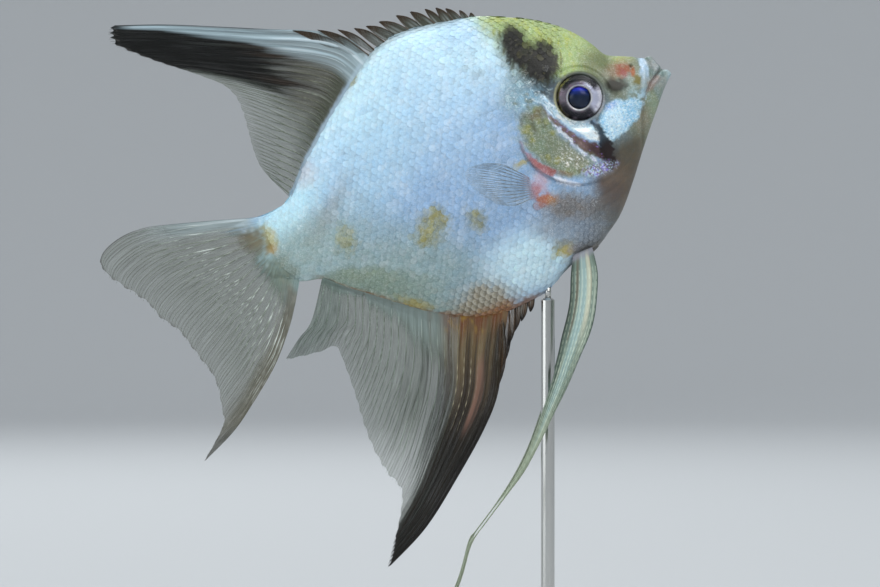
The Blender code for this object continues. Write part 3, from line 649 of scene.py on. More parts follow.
    lay(paint, (0.40 + 0.48 * ease(share, 0.1, 0.6)) * red, 158, 80, 72)
    lay(paint, 0.35 * red * ease(fine, 0.5, 0.75), 196, 128, 130)
    d, share, _ = near_path(ws, wt, CRESCENT)
    wide = 0.50 * ease(share, 0.0, 0.25) * ease(share, 1.0, 0.65)
    moon = ease(d + 0.3 * (fine - 0.5), wide + 0.18, wide - 0.18) * ease(wide, 0.02, 0.2)
    lay(paint, moon, 232, 238, 252)
    silver = np.maximum(silver, 0.4 * moon)
    d, _, side = near_path(s, t, GILL_EDGE)
    # a grey line of painted shade along the lower part of the gill cover's free edge
    lay(paint, 0.40 * ease(d, 0.30, 0.05) * ease(s, 58, 52) * ease(t, 0.0, -5.0), 96, 92, 96)
    haze = ease(d * side, -2.4, -0.2) * ease(d * side, 0.2, -0.2) * ease(s, 53, 50)
    lay(paint, 0.35 * haze * ease(fine, 0.35, 0.65), 140, 160, 160)

    # lips and upper jaw bone, with painted shade along the mouth, in the jaw crease and in the
    # nostril
    lip = ease(s + 0.1 * t, 74.6, 75.6)
    coats(paint, lip, (0.88, 92, 111, 106), (0.75, 134, 152, 142, ease(t, 0.8, -0.8)),
          (0.5, 124, 146, 142, ease(lump + 0.3 * fine, 0.6, 0.85)))
    d, _, _ = near_path(ws, wt, MAXILLA)
    bone = ease(d + 0.5 * (fine - 0.5), 0.95, 0.35)
    lay(paint, bone * (0.35 + 0.6 * ease(t, -0.5, 3.4)), 172, 198, 218)
    lay(paint, 0.75 * bone * ease(comb, 0.5, 0.7) * ease(t, 0.0, 3.0), 212, 230, 250)
    d, _, _ = near_path(s, t, LIP_GROOVE)
    lay(paint, 0.6 * ease(d, 0.45, 0.12), 108, 122, 112)
    d, _, _ = near_path(s, t, MOUTH_LINE)
    spots(paint, ws, wt, fine,
          (0.50, (76.7, -0.6), (2.2, 1.2), -25, 0.6, 0, (164, 162, 158)),
          (0.55, (76.9, 2.6), (0.9, 1.2), 0, 0.6, 0.5, (156, 156, 158)))
    # painted shade along the mouth line and in the slit at its tip
    lay(paint, 0.50 * ease(d, 0.26, 0.06), 92, 84, 78)
    lay(paint, 0.85 * ease(np.abs(t - 1.35), 0.30, 0.12) * ease(s, 78.4, 79.0), 70, 54, 48)
    lay(paint, 0.55 * dab(ws, wt, (75.6, -0.3), (1.7, 0.7), 35, 0.5, 0.5, fine), 160, 132, 124)
    lay(paint, 0.7 * ease(s - 0.25 * t, 77.6, 79.0), 178, 200, 204)
    # painted shade in the jaw crease and in the nostril's pit
    d, _, _ = near_path(s, t, JAW_CREASE)
    lay(paint, 0.45 * ease(d, 0.45, 0.12), 100, 96, 80)
    r = np.hypot(s - NOSTRIL[0], (t - NOSTRIL[1]) * 0.8)
    lay(paint, 0.4 * ease(r, 0.34, 0.12), 84, 78, 54)

    # ring of skin round the eye: pale rim, gold behind and grey in front, and painted shade deep
    # in the socket
    r = np.hypot(s - EYE_AT[0], t - EYE_AT[1])
    ahead, over = pitched(s - EYE_AT[0], t - EYE_AT[1]) / np.maximum(r, 0.1)
    ring = ease(r, EYE_RADIUS + 0.9, EYE_RADIUS + 0.35)
    lay(paint, (0.35 + 0.50 * ease(over, 0.2, 0.8)) * ring, 54, 60, 54)
    rim = ease(r, EYE_RADIUS + 0.52, EYE_RADIUS + 0.30)
    coats(paint, rim, (0.55, 112, 118, 112),
          (0.6, 176, 172, 120, ease(-ahead + 1.2 * (fine - 0.5), 0.3, 0.9)),
          (0.5, 176, 178, 188, ease(ahead, 0.5, 0.9), ease(-over, -0.3, 0.2)))
    # painted shade in the sunk socket round the eyeball
    lay(paint, ease(r, EYE_RADIUS + 0.10, EYE_RADIUS - 0.12), 38, 38, 40)

    # pink and orange flesh at the root of the pectoral fin
    spots(paint, ws, wt, fine,
          (0.65, (49.6, -8.9), (2.2, 1.3), 70, 0.6, 0.7, (196, 158, 170)),
          (0.7, (48.0, -10.0), (1.3, 0.9), 60, 0.6, 1.2, (180, 108, 104)),
          (0.85, (49.0, -11.9), (1.6, 1.0), -10, 0.6, 1.2, (184, 104, 58)),
          (0.55, (50.4, -12.6), (1.1, 0.8), 0, 0.5, 0.6, (180, 130, 70)),
          (0.80, (47.7, -4.3), (1.1, 0.5), 10, 0.5, 0.9, (176, 160, 78)))
    return paint, silver


def marks_and_painted_light(place):
    """Paint, with its painted light and shade, and silver shares of points (s, y, t) anywhere on
    the body.
    """
    s, y, t = place[..., 0], np.abs(place[..., 1]), place[..., 2]
    lump = grain(place, 3.2, 3)
    fine = grain(place, 0.7, 5)
    speck = grain(place, 0.28, 7, 1)
    comb = upright(place, 3.4, 1, 0.6, 33)
    silver = np.zeros(np.shape(s)) + 0.12

    # ground colour: white along the back, blue on the flank, greyer low down and behind; the white
    # back is partly painted light from above, the grey low down and behind partly painted shade
    paint = plain(s, 154, 187, 222)
    back = height_on(BACK_LINE, s)
    lay(paint, 0.95 * ease(t + 2.5 * (lump - 0.5), 4.0, 19.0), 212, 246, 255)
    spots(paint, s, t, 0.5,
          (0.6, (24, 9), (15, 9), 35, 0.6, 0, (188, 228, 249)),
          (0.60, (38.5, 12), (9, 11), 0, 0.7, 0, (184, 220, 247)),
          (0.60, (48.5, 21.5), (5, 3.0), -15, 0.7, 0, (168, 206, 238)))
    lay(paint, ease(s + 0.55 * t + 3 * (lump - 0.5), 27.0, 8.0) * ease(t, 8, 0), 152, 178, 182)
    spots(paint, s, t, lump,
          (0.90, (24, -15), (13, 7), -32, 0.7, 0.3, (142, 166, 166)),
          (0.95, (43.0, -21.3), (8, 5.3), -5, 0.6, 0, (213, 244, 255)),
          (0.85, (5.5, 4.6), (8, 3.4), 25, 0.6, 0, (198, 240, 252)))
    lay(paint, 0.35 * dab(s, t, (10.6, 10.7), (2.6, 3.4), 40, 0.6, 0.5, fine), 214, 180, 170)
    lay(paint, 0.6 * ease(back - t, 1.6, 0.2) * ease(s, 20, 26) * ease(s, 52, 44), 110, 118, 116)
    lay(paint, 0.30 * ease(comb, 0.55, 0.8), 236, 243, 252)
    lay(paint, 0.30 * ease(comb, 0.42, 0.2), 132, 152, 170)

    # gold flecks on the flank, brown netted patch over the anal fin, yellow tail root
    for at, size, turn, strength in (((28.7, -8.9), (3.0, 2.2), 20, 0.95),
                                     ((30.3, -6.6), (1.5, 1.5), 0, 0.80),
                                     ((36.6, -10.3), (1.4, 2.1), 10, 0.85),
                                     ((13.7, -4.2), (1.9, 2.3), 0, 0.80),
                                     ((26.2, 22.0), (1.3, 0.6), 40, 0.75),
                                     ((49.8, -21.6), (2.2, 1.6), -20, 1.0)):
        fleck = dab(s, t, at, size, turn, 0.45, 1.7, fine)
        lay(paint, strength * fleck * (0.6 + 0.4 * ease(lump, 0.3, 0.6)), 138, 134, 76)
        coats(paint, strength, (0.55, 184, 176, 96, fleck, ease(speck, 0.5, 0.7)),
              (0.40, 90, 94, 66, fleck, ease(speck, 0.4, 0.2)))
    spots(paint, s, t, fine,
          (0.30, (12.4, 1.2), (9, 1.4), 38, 0.7, 0.9, (146, 128, 108)),
          (0.85, (49.7, -22.0), (1.5, 1.1), -20, 0.5, 1.0, (200, 178, 70)))
    patch = dab(s, t, (31.8, -25.4), (5.8, 3.9), -4, 0.45, 0.9, fine)
    coats(paint, patch, (0.85, 148, 132, 98),
          (0.8, 160, 98, 44, ease(t + 1.2 * (fine - 0.5), -24.9, -27.2)),
          (0.7, 190, 154, 52, ease(t, -24.9, -27.2), ease(speck, 0.6, 0.75)))
    root_line = np.interp(s, (3.2, 11.4, 17.0, 22.6, 27.2), (-7.7, -8.5, -11.0, -14.2, -17.7))
    over_fin = t - root_line + 0.9 * (lump - 0.5) + 0.7 * (fine - 0.5)
    reach = ease(s, 2.0, 5.0) * ease(s, 29.0, 23.0)
    lay(paint, (0.60 - 0.30 * ease(s, 15, 24)) * reach * ease(over_fin, 0.4, -1.2), 126, 140, 104)
    lay(paint, 0.20 * reach * ease(np.abs(over_fin - 0.45), 0.55, 0.15), 196, 220, 222)
    edge = t - height_on(BELLY_LINE, s)
    seam = ease(edge + 1.2 * (fine - 0.5), 1.25, 0.35) * ease(s, 4, 9) * ease(s, 44, 40)
    lay(paint, 0.85 * seam, 150, 104, 66)
    spots(paint, s, t, fine,
          (0.75, (20.6, -20.0), (3.2, 0.9), -38, 0.5, 1.1, (176, 158, 72)),
          (0.60, (4.0, -3.6), (6.0, 5.0), 0, 0.7, 0.5, (160, 184, 180)),
          (0.80, (0.2, -5.4), (2.6, 3.4), 0, 0.6, 0.5, (128, 140, 124)),
          (0.75, (0.8, 1.3), (1.3, 2.5), -5, 0.5, 0.8, (192, 180, 106)),
          (0.60, (0.3, -0.5), (1.1, 1.0), 0, 0.7, 1.0, (184, 142, 76)),
          (0.75, (-2.4, 2.2), (2.8, 2.2), -23, 0.8, 0.9, (116, 110, 66)),
          (0.6, (51.8, -22.6), (2.2, 1.2), -10, 0.5, 0.8, (190, 188, 214)))

    head = s > HEAD_FROM
    paint[head], silver[head] = head_marks_and_painted_light(place[head], paint[head], silver[head])

    # dust of fine dark and light grain over all; dark skin has no silver in it
    hue = grain(place, 0.55, 37) - 0.5
    paint = paint * (0.92 + 0.16 * fine + 0.08 * (speck - 0.5))[..., None]
    paint = paint * np.stack([1 + 0.22 * hue, 1 + 0.04 * hue, 1 - 0.12 * hue], -1)
    silver = silver * ease(paint.mean(axis=-1), 0.03, 0.22)
    return np.clip(paint, 0.0, 1.0), np.clip(silver, 0.0, 1.0)


# ---------------------------------------------------------------- body: the skin itself
# One closed skin from the tail root to the lips, finest over the head, with every place
# coloured by the markings and their painted light.
RING_HALF = 187                  # places from belly to back on one side
SLICES = [(TAIL_END, 44.0, 52), (44.0, 74.0, 172), (74.0, LIP_END, 38)]
# margin of the bake map, and what the body takes up of it round and along
MAP_EDGE, MAP_ROUND, MAP_ALONG = 0.02, 0.96, 0.94


def run_along(places):
    """Length run from the first place to each of the others."""
    steps = np.linalg.norm(np.diff(places, axis=0), axis=1)
    return np.concatenate([[0], np.cumsum(steps)])


def ring_angles(stations, count):
    """Angles that space a slice's places evenly round it, one row for each station."""
    fine = np.linspace(-math.pi / 2, math.pi / 2, 361)
    rows = []
    for s in stations:
        run = run_along(body_place(np.full_like(fine, s), fine))
        rows.append(np.interp(np.linspace(0, run[-1], count), run, fine))
    return np.array(rows)


def add_colour(piece, rgba):
    layer = piece.data.color_attributes.new("hide", "FLOAT_COLOR", "POINT")
    layer.data.foreach_set("color", np.asarray(rgba, dtype=float).ravel())


def with_share(paint, share):
    """Paint with a fourth share for each place: its silver, or how far it covers."""
    return np.concatenate([paint, share[..., None]], axis=-1)


def corner_places(mesh):
    """Which vertex each face corner is."""
    corner = np.zeros(len(mesh.loops), dtype=int)
    mesh.loops.foreach_get("vertex_index", corner)
    return corner


def add_map(piece, name, uv):
    """uv: one (u, v) for each face corner."""
    layer = piece.data.uv_layers.new(name=name)
    layer.data.foreach_set("uv", np.asarray(uv, dtype=float).ravel())


def place_piece(piece, slot, *replaced):
    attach(piece, "root")
    if replaced:
        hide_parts(*replaced)


def painted_place(tree):
    return add_node(tree, "Attribute", set_attribute_name="hide")


def spread(tree, value, low, high, start, end):
    return add_node(tree, "MapRange", Value=value, i1=low, i2=high, i3=start, i4=end)


def flesh_material(name, fleck_size, gloss, wet):
    """Pearly skin: painted colour, silver flecks whitened as painted glints, fine grain and a wet
    coat.
    """
    material, tree, shader = new_material(name, roughness=gloss, Specular_IOR_Level=0.2,
                                          Coat_Weight=wet, Coat_Roughness=0.12)
    hide = painted_place(tree)
    place = object_place(tree)
    dust = add_node(tree, "TexNoise", Vector=place, Scale=5200.0, Detail=2.0)
    dusting = ramp(tree, dust, (0.30, (0.80, 0.82, 0.84)), (0.70, (1.1, 1.1, 1.1)))
    dusted = add_node(tree, "Mix", set_data_type="RGBA", set_blend_type="MULTIPLY", i0=0.6,
                      i6=hide, i7=dusting)
    # where the skin is silver, the flecks turn its colour near white: painted glints
    flecks = add_node(tree, "TexVoronoi", Vector=place, Scale=1.0 / fleck_size)
    pick = add_node(tree, "SeparateColor", Color=flecks.outputs["Color"])
    spark = spread(tree, pick.outputs["Red"], 0.55, 0.95, 0.0, 1.0)
    share = spread(tree, hide.outputs["Alpha"], 0.05, 0.45, 0.0, 0.9)
    amount = add_node(tree, "Math", set_operation="MULTIPLY", i0=spark, i1=share)
    bright = add_node(tree, "Mix", set_data_type="RGBA", i0=amount, i6=dusted.outputs[2],
                      i7=(0.92, 0.97, 1.0, 1.0))
    metal = add_node(tree, "Math", set_operation="MULTIPLY", i0=hide.outputs["Alpha"], i1=0.5)
    rough = spread(tree, hide.outputs["Alpha"], 0.0, 1.0, gloss, gloss * 0.72)
    feed(tree, shader, Base_Color=bright.outputs[2], Metallic=metal, Roughness=rough)
    height = add_node(tree, "Math", set_operation="MULTIPLY_ADD", i0=pick.outputs["Green"],
                      i1=0.5, i2=dust)
    bumped(tree, shader, height, 0.00003, 0.6)
    return material


stations = np.unique(np.concatenate([np.linspace(*part) for part in SLICES]))
angles = ring_angles(stations, RING_HALF + 1)
half_rings, _ = skin_place(stations[:, None] + 0 * angles, angles)
half_rings[:, 0, 1] = half_rings[:, -1, 1] = 0.0
# the left half from belly to back, then the right half back to the belly
skin_rings = np.concatenate([half_rings, half_rings[:, -2:0:-1] * (1, -1, 1)], axis=1)
lip_ring = skin_rings[-1]
centre = lip_ring.mean(axis=0)
caps = [centre + (lip_ring - centre) * (math.cos(a) + 1e-3) + np.array([0.16 * math.sin(a), 0, 0])
        for a in np.linspace(0.2, 1.0, 6) * math.pi / 2]
skin_rings = np.concatenate([skin_rings, caps])
rows, columns = skin_rings.shape[:2]
faces = grid_faces(rows, columns, True)
faces += [tuple(range(columns))[::-1], tuple(range((rows - 1) * columns, rows * columns))]
skin = make_piece("fish_skin", posed(skin_rings), faces,
                  flesh_material("skin_pearl", 0.00016, 0.36, 0.12))
add_colour(skin, with_share(*marks_and_painted_light(skin_rings)))

# unwrap: along the body one way, round it from the belly the other
along = np.concatenate([(stations - TAIL_END) / (LIP_END - TAIL_END),
                        1.0 + 0.004 * np.arange(1, len(caps) + 1)]) * MAP_ALONG + MAP_EDGE
share = [MAP_EDGE + MAP_ROUND * j / columns for j in range(columns + 1)]
uv = []
for low, high in zip(along, along[1:]):
    for near, far in zip(share, share[1:]):
        uv += [(low, near), (low, far), (high, far), (high, near)]
uv += [(0.01, near) for near in share[:-1]][::-1]
uv += [(0.99, near) for near in share[:-1]]
add_map(skin, "OFBake", uv)
place_piece(skin, "skin_pearl", "head", "upper_jaw", "lower_jaw", "gill_cover_left",
            "gill_cover_right", "trunk_front", "trunk_rear", "tail_stalk")

# ---------------------------------------------------------------- stand: the pin in the belly
# A steel pin on the rod's end rises through the scales into the flesh, where it is glued,
# so that the stand carries the fish.
PIN_RADIUS, PIN_IN_FLESH, PIN_SIDES = 0.6 * MM, 0.8 * MM, 32
rod_low, rod_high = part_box("stand_rod")
rod_x, rod_y = (rod_low[0] + rod_high[0]) / 2, (rod_low[1] + rod_high[1]) / 2
belly = posed([(s, 0.0, float(height_on(BELLY_LINE, s))) for s in np.linspace(36, 56, 200)])
belly_height = float(np.interp(rod_x, belly[:, 0], belly[:, 2]))
rings = lathe([(1e-6, rod_high[2]), (PIN_RADIUS, rod_high[2] + 1e-5),
               (PIN_RADIUS, belly_height + PIN_IN_FLESH),
               (1e-6, belly_height + PIN_IN_FLESH + 0.1 * MM)], PIN_SIDES)
place_piece(make_piece("stand_pin", rings + np.array([rod_x, rod_y, 0.0]),
                       grid_faces(4, PIN_SIDES, True), steel), "stand_steel")

# ---------------------------------------------------------------- body: the coat of scales
# Small overlapping scales cover the body from the gill cover and nape to the tail root.
# Their roots sit in the skin and their free edges point to the tail.  Rows follow the
# body's length, close up towards the tail, and leave the snout and cheeks bare.
def at_pitch(start, stop, places, pitches):
    found = [start]
    while found[-1] < stop:
        found.append(found[-1] + float(np.interp(found[-1], places, pitches)))
    return np.array(found)


SCALE_COLUMNS = at_pitch(-1.1, 64.0, (-1.1, 6.0, 16.0, 46.0, 56.0, 64.0),
                         (0.80, 0.90, 1.22, 1.25, 1.05, 0.80))
SCALE_ROWS = at_pitch(0.0, 34.0, (0.0, 20.0, 30.0), (1.16, 1.08, 0.86))
ROW_CLOSING = ((-1.5, 5.0, 14.0, 30.0), (0.62, 0.70, 0.94, 1.0))
COAT_FRONT = [
    (66.5, 16), (62.6, 12.2), (58.6, 8.6), (55, 7.6), (52, 6.9), (50.5, 4.4), (49.1, 1.6),
    (48.5, -1.6), (48.8, -5.2), (50.6, -8.6), (53.2, -11.2), (56.6, -13.2), (58.4, -15.6),
    (57.6, -19), (56.4, -24)]
OVERLAP_ALONG, OVERLAP_ACROSS = 1.75, 1.42
EDGE_MARGIN = 0.12               # how near the midline of back or belly a root may lie
FLOW_LENGTH, FLOW_STEPS = 81.5, 199
LEAF = 6                         # places along each side of a scale
NETTED_PATCH = (31.8, -25.2), (6.2, 4.2), -4, 0.5


def sheet_rim(rows, columns):
    """Places round the rim of a rows by columns sheet, in order."""
    last = (rows - 1) * columns
    return ([i * columns for i in range(rows)] + [last + j for j in range(1, columns)]
            + [i * columns + columns - 1 for i in range(rows - 2, -1, -1)]
            + [j for j in range(columns - 2, 0, -1)])


def add_layer(mesh, name, values):
    """An attribute for each vertex: a number, a vector or a colour, by its width."""
    values = np.asarray(values, dtype=float)
    width = values.shape[1] if values.ndim > 1 else 1
    kind, field = {1: ("FLOAT", "value"), 3: ("FLOAT_VECTOR", "vector"),
                   4: ("FLOAT_COLOR", "color")}[width]
    mesh.attributes.new(name, kind, "POINT").data.foreach_set(field, values.ravel())


def read_layer(mesh, name, field="vector", width=3):
    values = np.zeros(len(mesh.attributes[name].data) * width)
    mesh.attributes[name].data.foreach_get(field, values)
    return values.reshape(-1, width)


def new_tree(name, extra):
    """A node tree from geometry to geometry, with one more named input of a given kind."""
    tree = bpy.data.node_groups.new(name, "GeometryNodeTree")
    for label, kind in (("Geometry", "Geometry"), extra, ("Material", "Material")):
        tree.interface.new_socket(label, in_out="INPUT", socket_type="NodeSocket" + kind)
    tree.interface.new_socket("Geometry", in_out="OUTPUT", socket_type="NodeSocketGeometry")
    return tree, tree.nodes.new("NodeGroupInput")


def end_tree(tree, given, made):
    """Close a tree with real geometry in its own material."""
    real = add_node(tree, "RealizeInstances", Geometry=made)
    dressed = add_node(tree, "SetMaterial", Geometry=real, Material=given.outputs["Material"])
    feed(tree, tree.nodes.new("NodeGroupOutput"), Geometry=dressed)


def named(tree, name, kind="FLOAT_VECTOR"):
    return add_node(tree, "InputNamedAttribute", set_data_type=kind, Name=name)


def run_tree(name, mesh, tree, **values):
    """A plain mesh object from a start mesh run through a node tree."""
    start = link_object(name + "_start", mesh)
    live = start.modifiers.new("build", "NODES")
    live.node_group = tree
    for item in tree.interface.items_tree:
        if item.in_out == "INPUT" and item.name in values:
            live[item.identifier] = values[item.name]
    bpy.context.view_layer.update()
    mesh = bpy.data.meshes.new_from_object(start.evaluated_get(
        bpy.context.evaluated_depsgraph_get()))
    bpy.data.objects.remove(start)
    mesh.name = name
    return link_object(name, mesh)


def scale_sites():
    """Roots of the left side's scales: s, angle, share round the ring and both pitches."""
    fine = np.linspace(-math.pi / 2, math.pi / 2, 721)
    sites = []
    rows = np.concatenate([-SCALE_ROWS[:0:-1], SCALE_ROWS])
    row_pitch = np.gradient(rows)
    between = (SCALE_COLUMNS[1:] + SCALE_COLUMNS[:-1]) / 2
    for parity, columns in enumerate((SCALE_COLUMNS, between)):
        for s, pitch in zip(columns, np.gradient(columns)):
            run = run_along(body_place(np.full_like(fine, s), fine))
            closing = float(np.interp(s, *ROW_CLOSING))
            middle = float(np.interp(0.0, fine, run))
            for row, across in list(zip(rows, row_pitch))[parity::2]:
                place = middle + row * closing
                if EDGE_MARGIN < place < run[-1] - EDGE_MARGIN:
                    sites.append((s, float(np.interp(place, run, fine)), place / run[-1],
                                  pitch, across * closing, row * closing))
    return np.array(sites)


def unit(ways):
    return ways / np.maximum(np.linalg.norm(ways, axis=1, keepdims=True), 1e-9)


leaf_u, leaf_v = np.meshgrid(np.linspace(-1, 1, LEAF), np.linspace(0, 1, LEAF), indexing="ij")
leaf_places = np.stack([
    (leaf_v - 0.30) * (1 - 0.24 * leaf_u ** 2 * leaf_v),
    0.5 * leaf_u * (0.72 + 0.30 * np.sin(math.pi * (0.12 + 0.70 * leaf_v))),
    -0.045 + 0.125 * leaf_v ** 1.3 + 0.05 * (1 - leaf_u ** 2) * (1 - (2 * leaf_v - 1) ** 2)
    - 0.03 * leaf_u ** 2], axis=-1)
leaf = make_piece("scale_leaf", leaf_places,
                  grid_faces(LEAF, LEAF) + [tuple(sheet_rim(LEAF, LEAF)[::-1])])
add_layer(leaf.data, "leaf_place",
          np.stack([leaf_u * 0.5, leaf_v, 0 * leaf_u], -1).reshape(-1, 3))
leaf.hide_render = True

SCALE_TREE, given = new_tree("scale_coat", ("Leaf", "Object"))
model = add_node(SCALE_TREE, "ObjectInfo", Object=given.outputs["Leaf"])
dots = add_node(SCALE_TREE, "MeshToPoints", Mesh=given)
end_tree(SCALE_TREE, given, add_node(
    SCALE_TREE, "InstanceOnPoints", Points=dots, Instance=model.outputs["Geometry"],
    Rotation=named(SCALE_TREE, "turn"), Scale=named(SCALE_TREE, "size")))

sites = scale_sites()
place, normal = skin_place(sites[:, 0], sites[:, 1])
distance, _, side = near_path(place[:, 0], place[:, 2], COAT_FRONT, 120)
fin_root = np.hypot((place[:, 0] - 49.0) / 2.6, (place[:, 2] + 9.8) / 2.6)
keep = (side < 0) & (distance > 0.15) & (fin_root > 1) & (place[:, 0] > TAIL_END)
place, normal = place[keep], normal[keep]
s, angle, ring_share, pitch, across, row_height = sites[keep].T
# each scale points back along its row, at right angles to the ring and in the skin
drift = body_place(s - 0.6, angle) - body_place(s, angle)
places_along = np.linspace(TAIL_END, TAIL_END + FLOW_LENGTH, FLOW_STEPS + 1)
slope = np.gradient(np.interp(places_along, *ROW_CLOSING), FLOW_LENGTH / FLOW_STEPS)
slope = np.interp(s, places_along, slope)
up_it = unit(body_place(s, angle + 0.01) - body_place(s, angle - 0.01))
drift -= up_it * np.sum(drift * up_it, axis=1, keepdims=True)
drift -= up_it * (0.6 * slope * row_height / np.interp(s, *ROW_CLOSING))[:, None]
drift -= normal * np.sum(drift * normal, axis=1, keepdims=True)
drift = unit(drift)
chance = grain(place * 7.3 + 3.1, 1.0, 61, 1)
# over the sharp edges of back and belly the scales are narrower and lie flatter
keel = np.minimum(height_on(BACK_LINE, place[:, 0]) - place[:, 2],
                  place[:, 2] - height_on(BELLY_LINE, place[:, 0]))
keel = ease(keel, 3.0, 0.5)
sizes = np.stack([pitch * OVERLAP_ALONG, across * OVERLAP_ACROSS * (1 - 0.3 * keel),
                  (0.8 + 0.4 * chance) * (1 - 0.45 * keel) * np.minimum(pitch / 1.15, 1.0)],
                 -1) * MM
scale_pearl = flesh_material("scale_pearl", 0.00013, 0.38, 0.08)


def scale_turns(back, out):
    """Each scale's rotation, a little askew by its own chance."""
    for x, z, lot in zip(back, out, chance):
        x, z = Vector(x), Vector(z)
        axes = Matrix((x, z.cross(x), z)).transposed()
        tilt = Euler(((lot * 7 % 1 - 0.5) * 0.09, (lot * 13 % 1 - 0.5) * 0.04,
                      (lot - 0.5) * 0.16)).to_matrix()
        yield tuple((axes @ tilt).to_euler("XYZ"))


for hand, label in ((1.0, "left"), (-1.0, "right")):
    way = np.array([1.0, hand, 1.0])
    share = ring_share / 2 if hand > 0 else 1 - ring_share / 2
    layers = {"turn": list(scale_turns(turned(drift * way), turned(normal * way))),
              "size": sizes, "root_place": place * way, "chance": chance,
              "root_uv": np.stack([
                  (s - TAIL_END) / (LIP_END - TAIL_END) * MAP_ALONG + MAP_EDGE,
                  MAP_EDGE + MAP_ROUND * share, 0 * share], -1)}
    mesh = bpy.data.meshes.new("coat_roots")
    mesh.from_pydata([tuple(p) for p in posed(place * way)], [], [])
    for name, values in layers.items():
        add_layer(mesh, name, values)
    coat = run_tree("coat_" + label, mesh, SCALE_TREE, Leaf=leaf, Material=scale_pearl)
    mesh = coat.data
    mesh.shade_smooth()

    # each scale is tinted where it lies and by its own root, pale along its free edge
    world = np.zeros(len(mesh.vertices) * 3)
    mesh.vertices.foreach_get("co", world)
    world = (world.reshape(-1, 3) - TAIL_ROOT) / MM
    here = np.stack([world @ NOSE_WAY, world[:, 1], world @ UP_WAY], -1)
    on_leaf = read_layer(mesh, "leaf_place")
    lot = read_layer(mesh, "chance", "value", 1)[:, 0]
    paint, silver = marks_and_painted_light(here)
    rooted, root_silver = marks_and_painted_light(read_layer(mesh, "root_place"))
    paint = paint + (rooted - paint) * 0.45
    net = dab(here[:, 0], here[:, 2], *NETTED_PATCH)
    strength = 0.10 + 0.45 * net
    profile = (strength * (ease(on_leaf[:, 1], 0.55, 0.92) - 0.55)
               - 0.35 * strength * ease(np.abs(on_leaf[:, 0]), 0.3, 0.5))
    paint = np.clip(paint * (1 + profile + 0.14 * (lot - 0.5))[:, None], 0, 1)
    lay(paint, 0.45 * net * ease(on_leaf[:, 1], 0.7, 0.95) * ease(here[:, 2], -27, -25),
        204, 202, 190)
    silver = silver * 0.6 + root_silver * 0.4 + 0.12 * ease(lot, 0.75, 0.98)
    add_colour(coat, with_share(paint, np.clip(silver, 0, 1)))
    on_map = read_layer(mesh, "root_uv")[:, :2] + (on_leaf[:, :2] - (0.0, 0.5)) * 0.003
    add_map(coat, "OFBake", on_map[corner_places(mesh)])
    for name in ("leaf_place", *layers):
        if name in mesh.attributes:
            mesh.attributes.remove(mesh.attributes[name])
    place_piece(coat, "skin_pearl")
bpy.data.objects.remove(leaf)

# ---------------------------------------------------------------- eyes
# Each eye is a silver iris on a dark ball, a black lens that stands through the pupil, and
# a clear cornea over both, set in the socket of the skin.
PUPIL_RADIUS, IRIS_RADIUS = 2.12, 4.22
IRIS_PROFILE = [
    (0.0005, 5.3), (1, 5.3), (1.9, 5.34), (2.02, 5.6), (2.08, 5.98), (2.16, 6.14), (2.3, 6.2),
    (2.6, 6.18), (3, 6.1), (3.4, 5.98), (3.8, 5.8), (4, 5.62), (4.13, 5.35), (4.2, 4.9),
    (4.1, 4.2), (3.6, 3.4), (2, 2.9), (0.0005, 2.8)]


def eye_rings(side, profile, segments):
    """A surface turned about the eye's axis from (radius, y) pairs."""
    turn = np.linspace(0, 2 * math.pi, segments, endpoint=False)
    return np.array([[(EYE_AT[0] + r * math.cos(a), side * y, EYE_AT[1] + r * math.sin(a))
                      for a in turn] for r, y in profile])


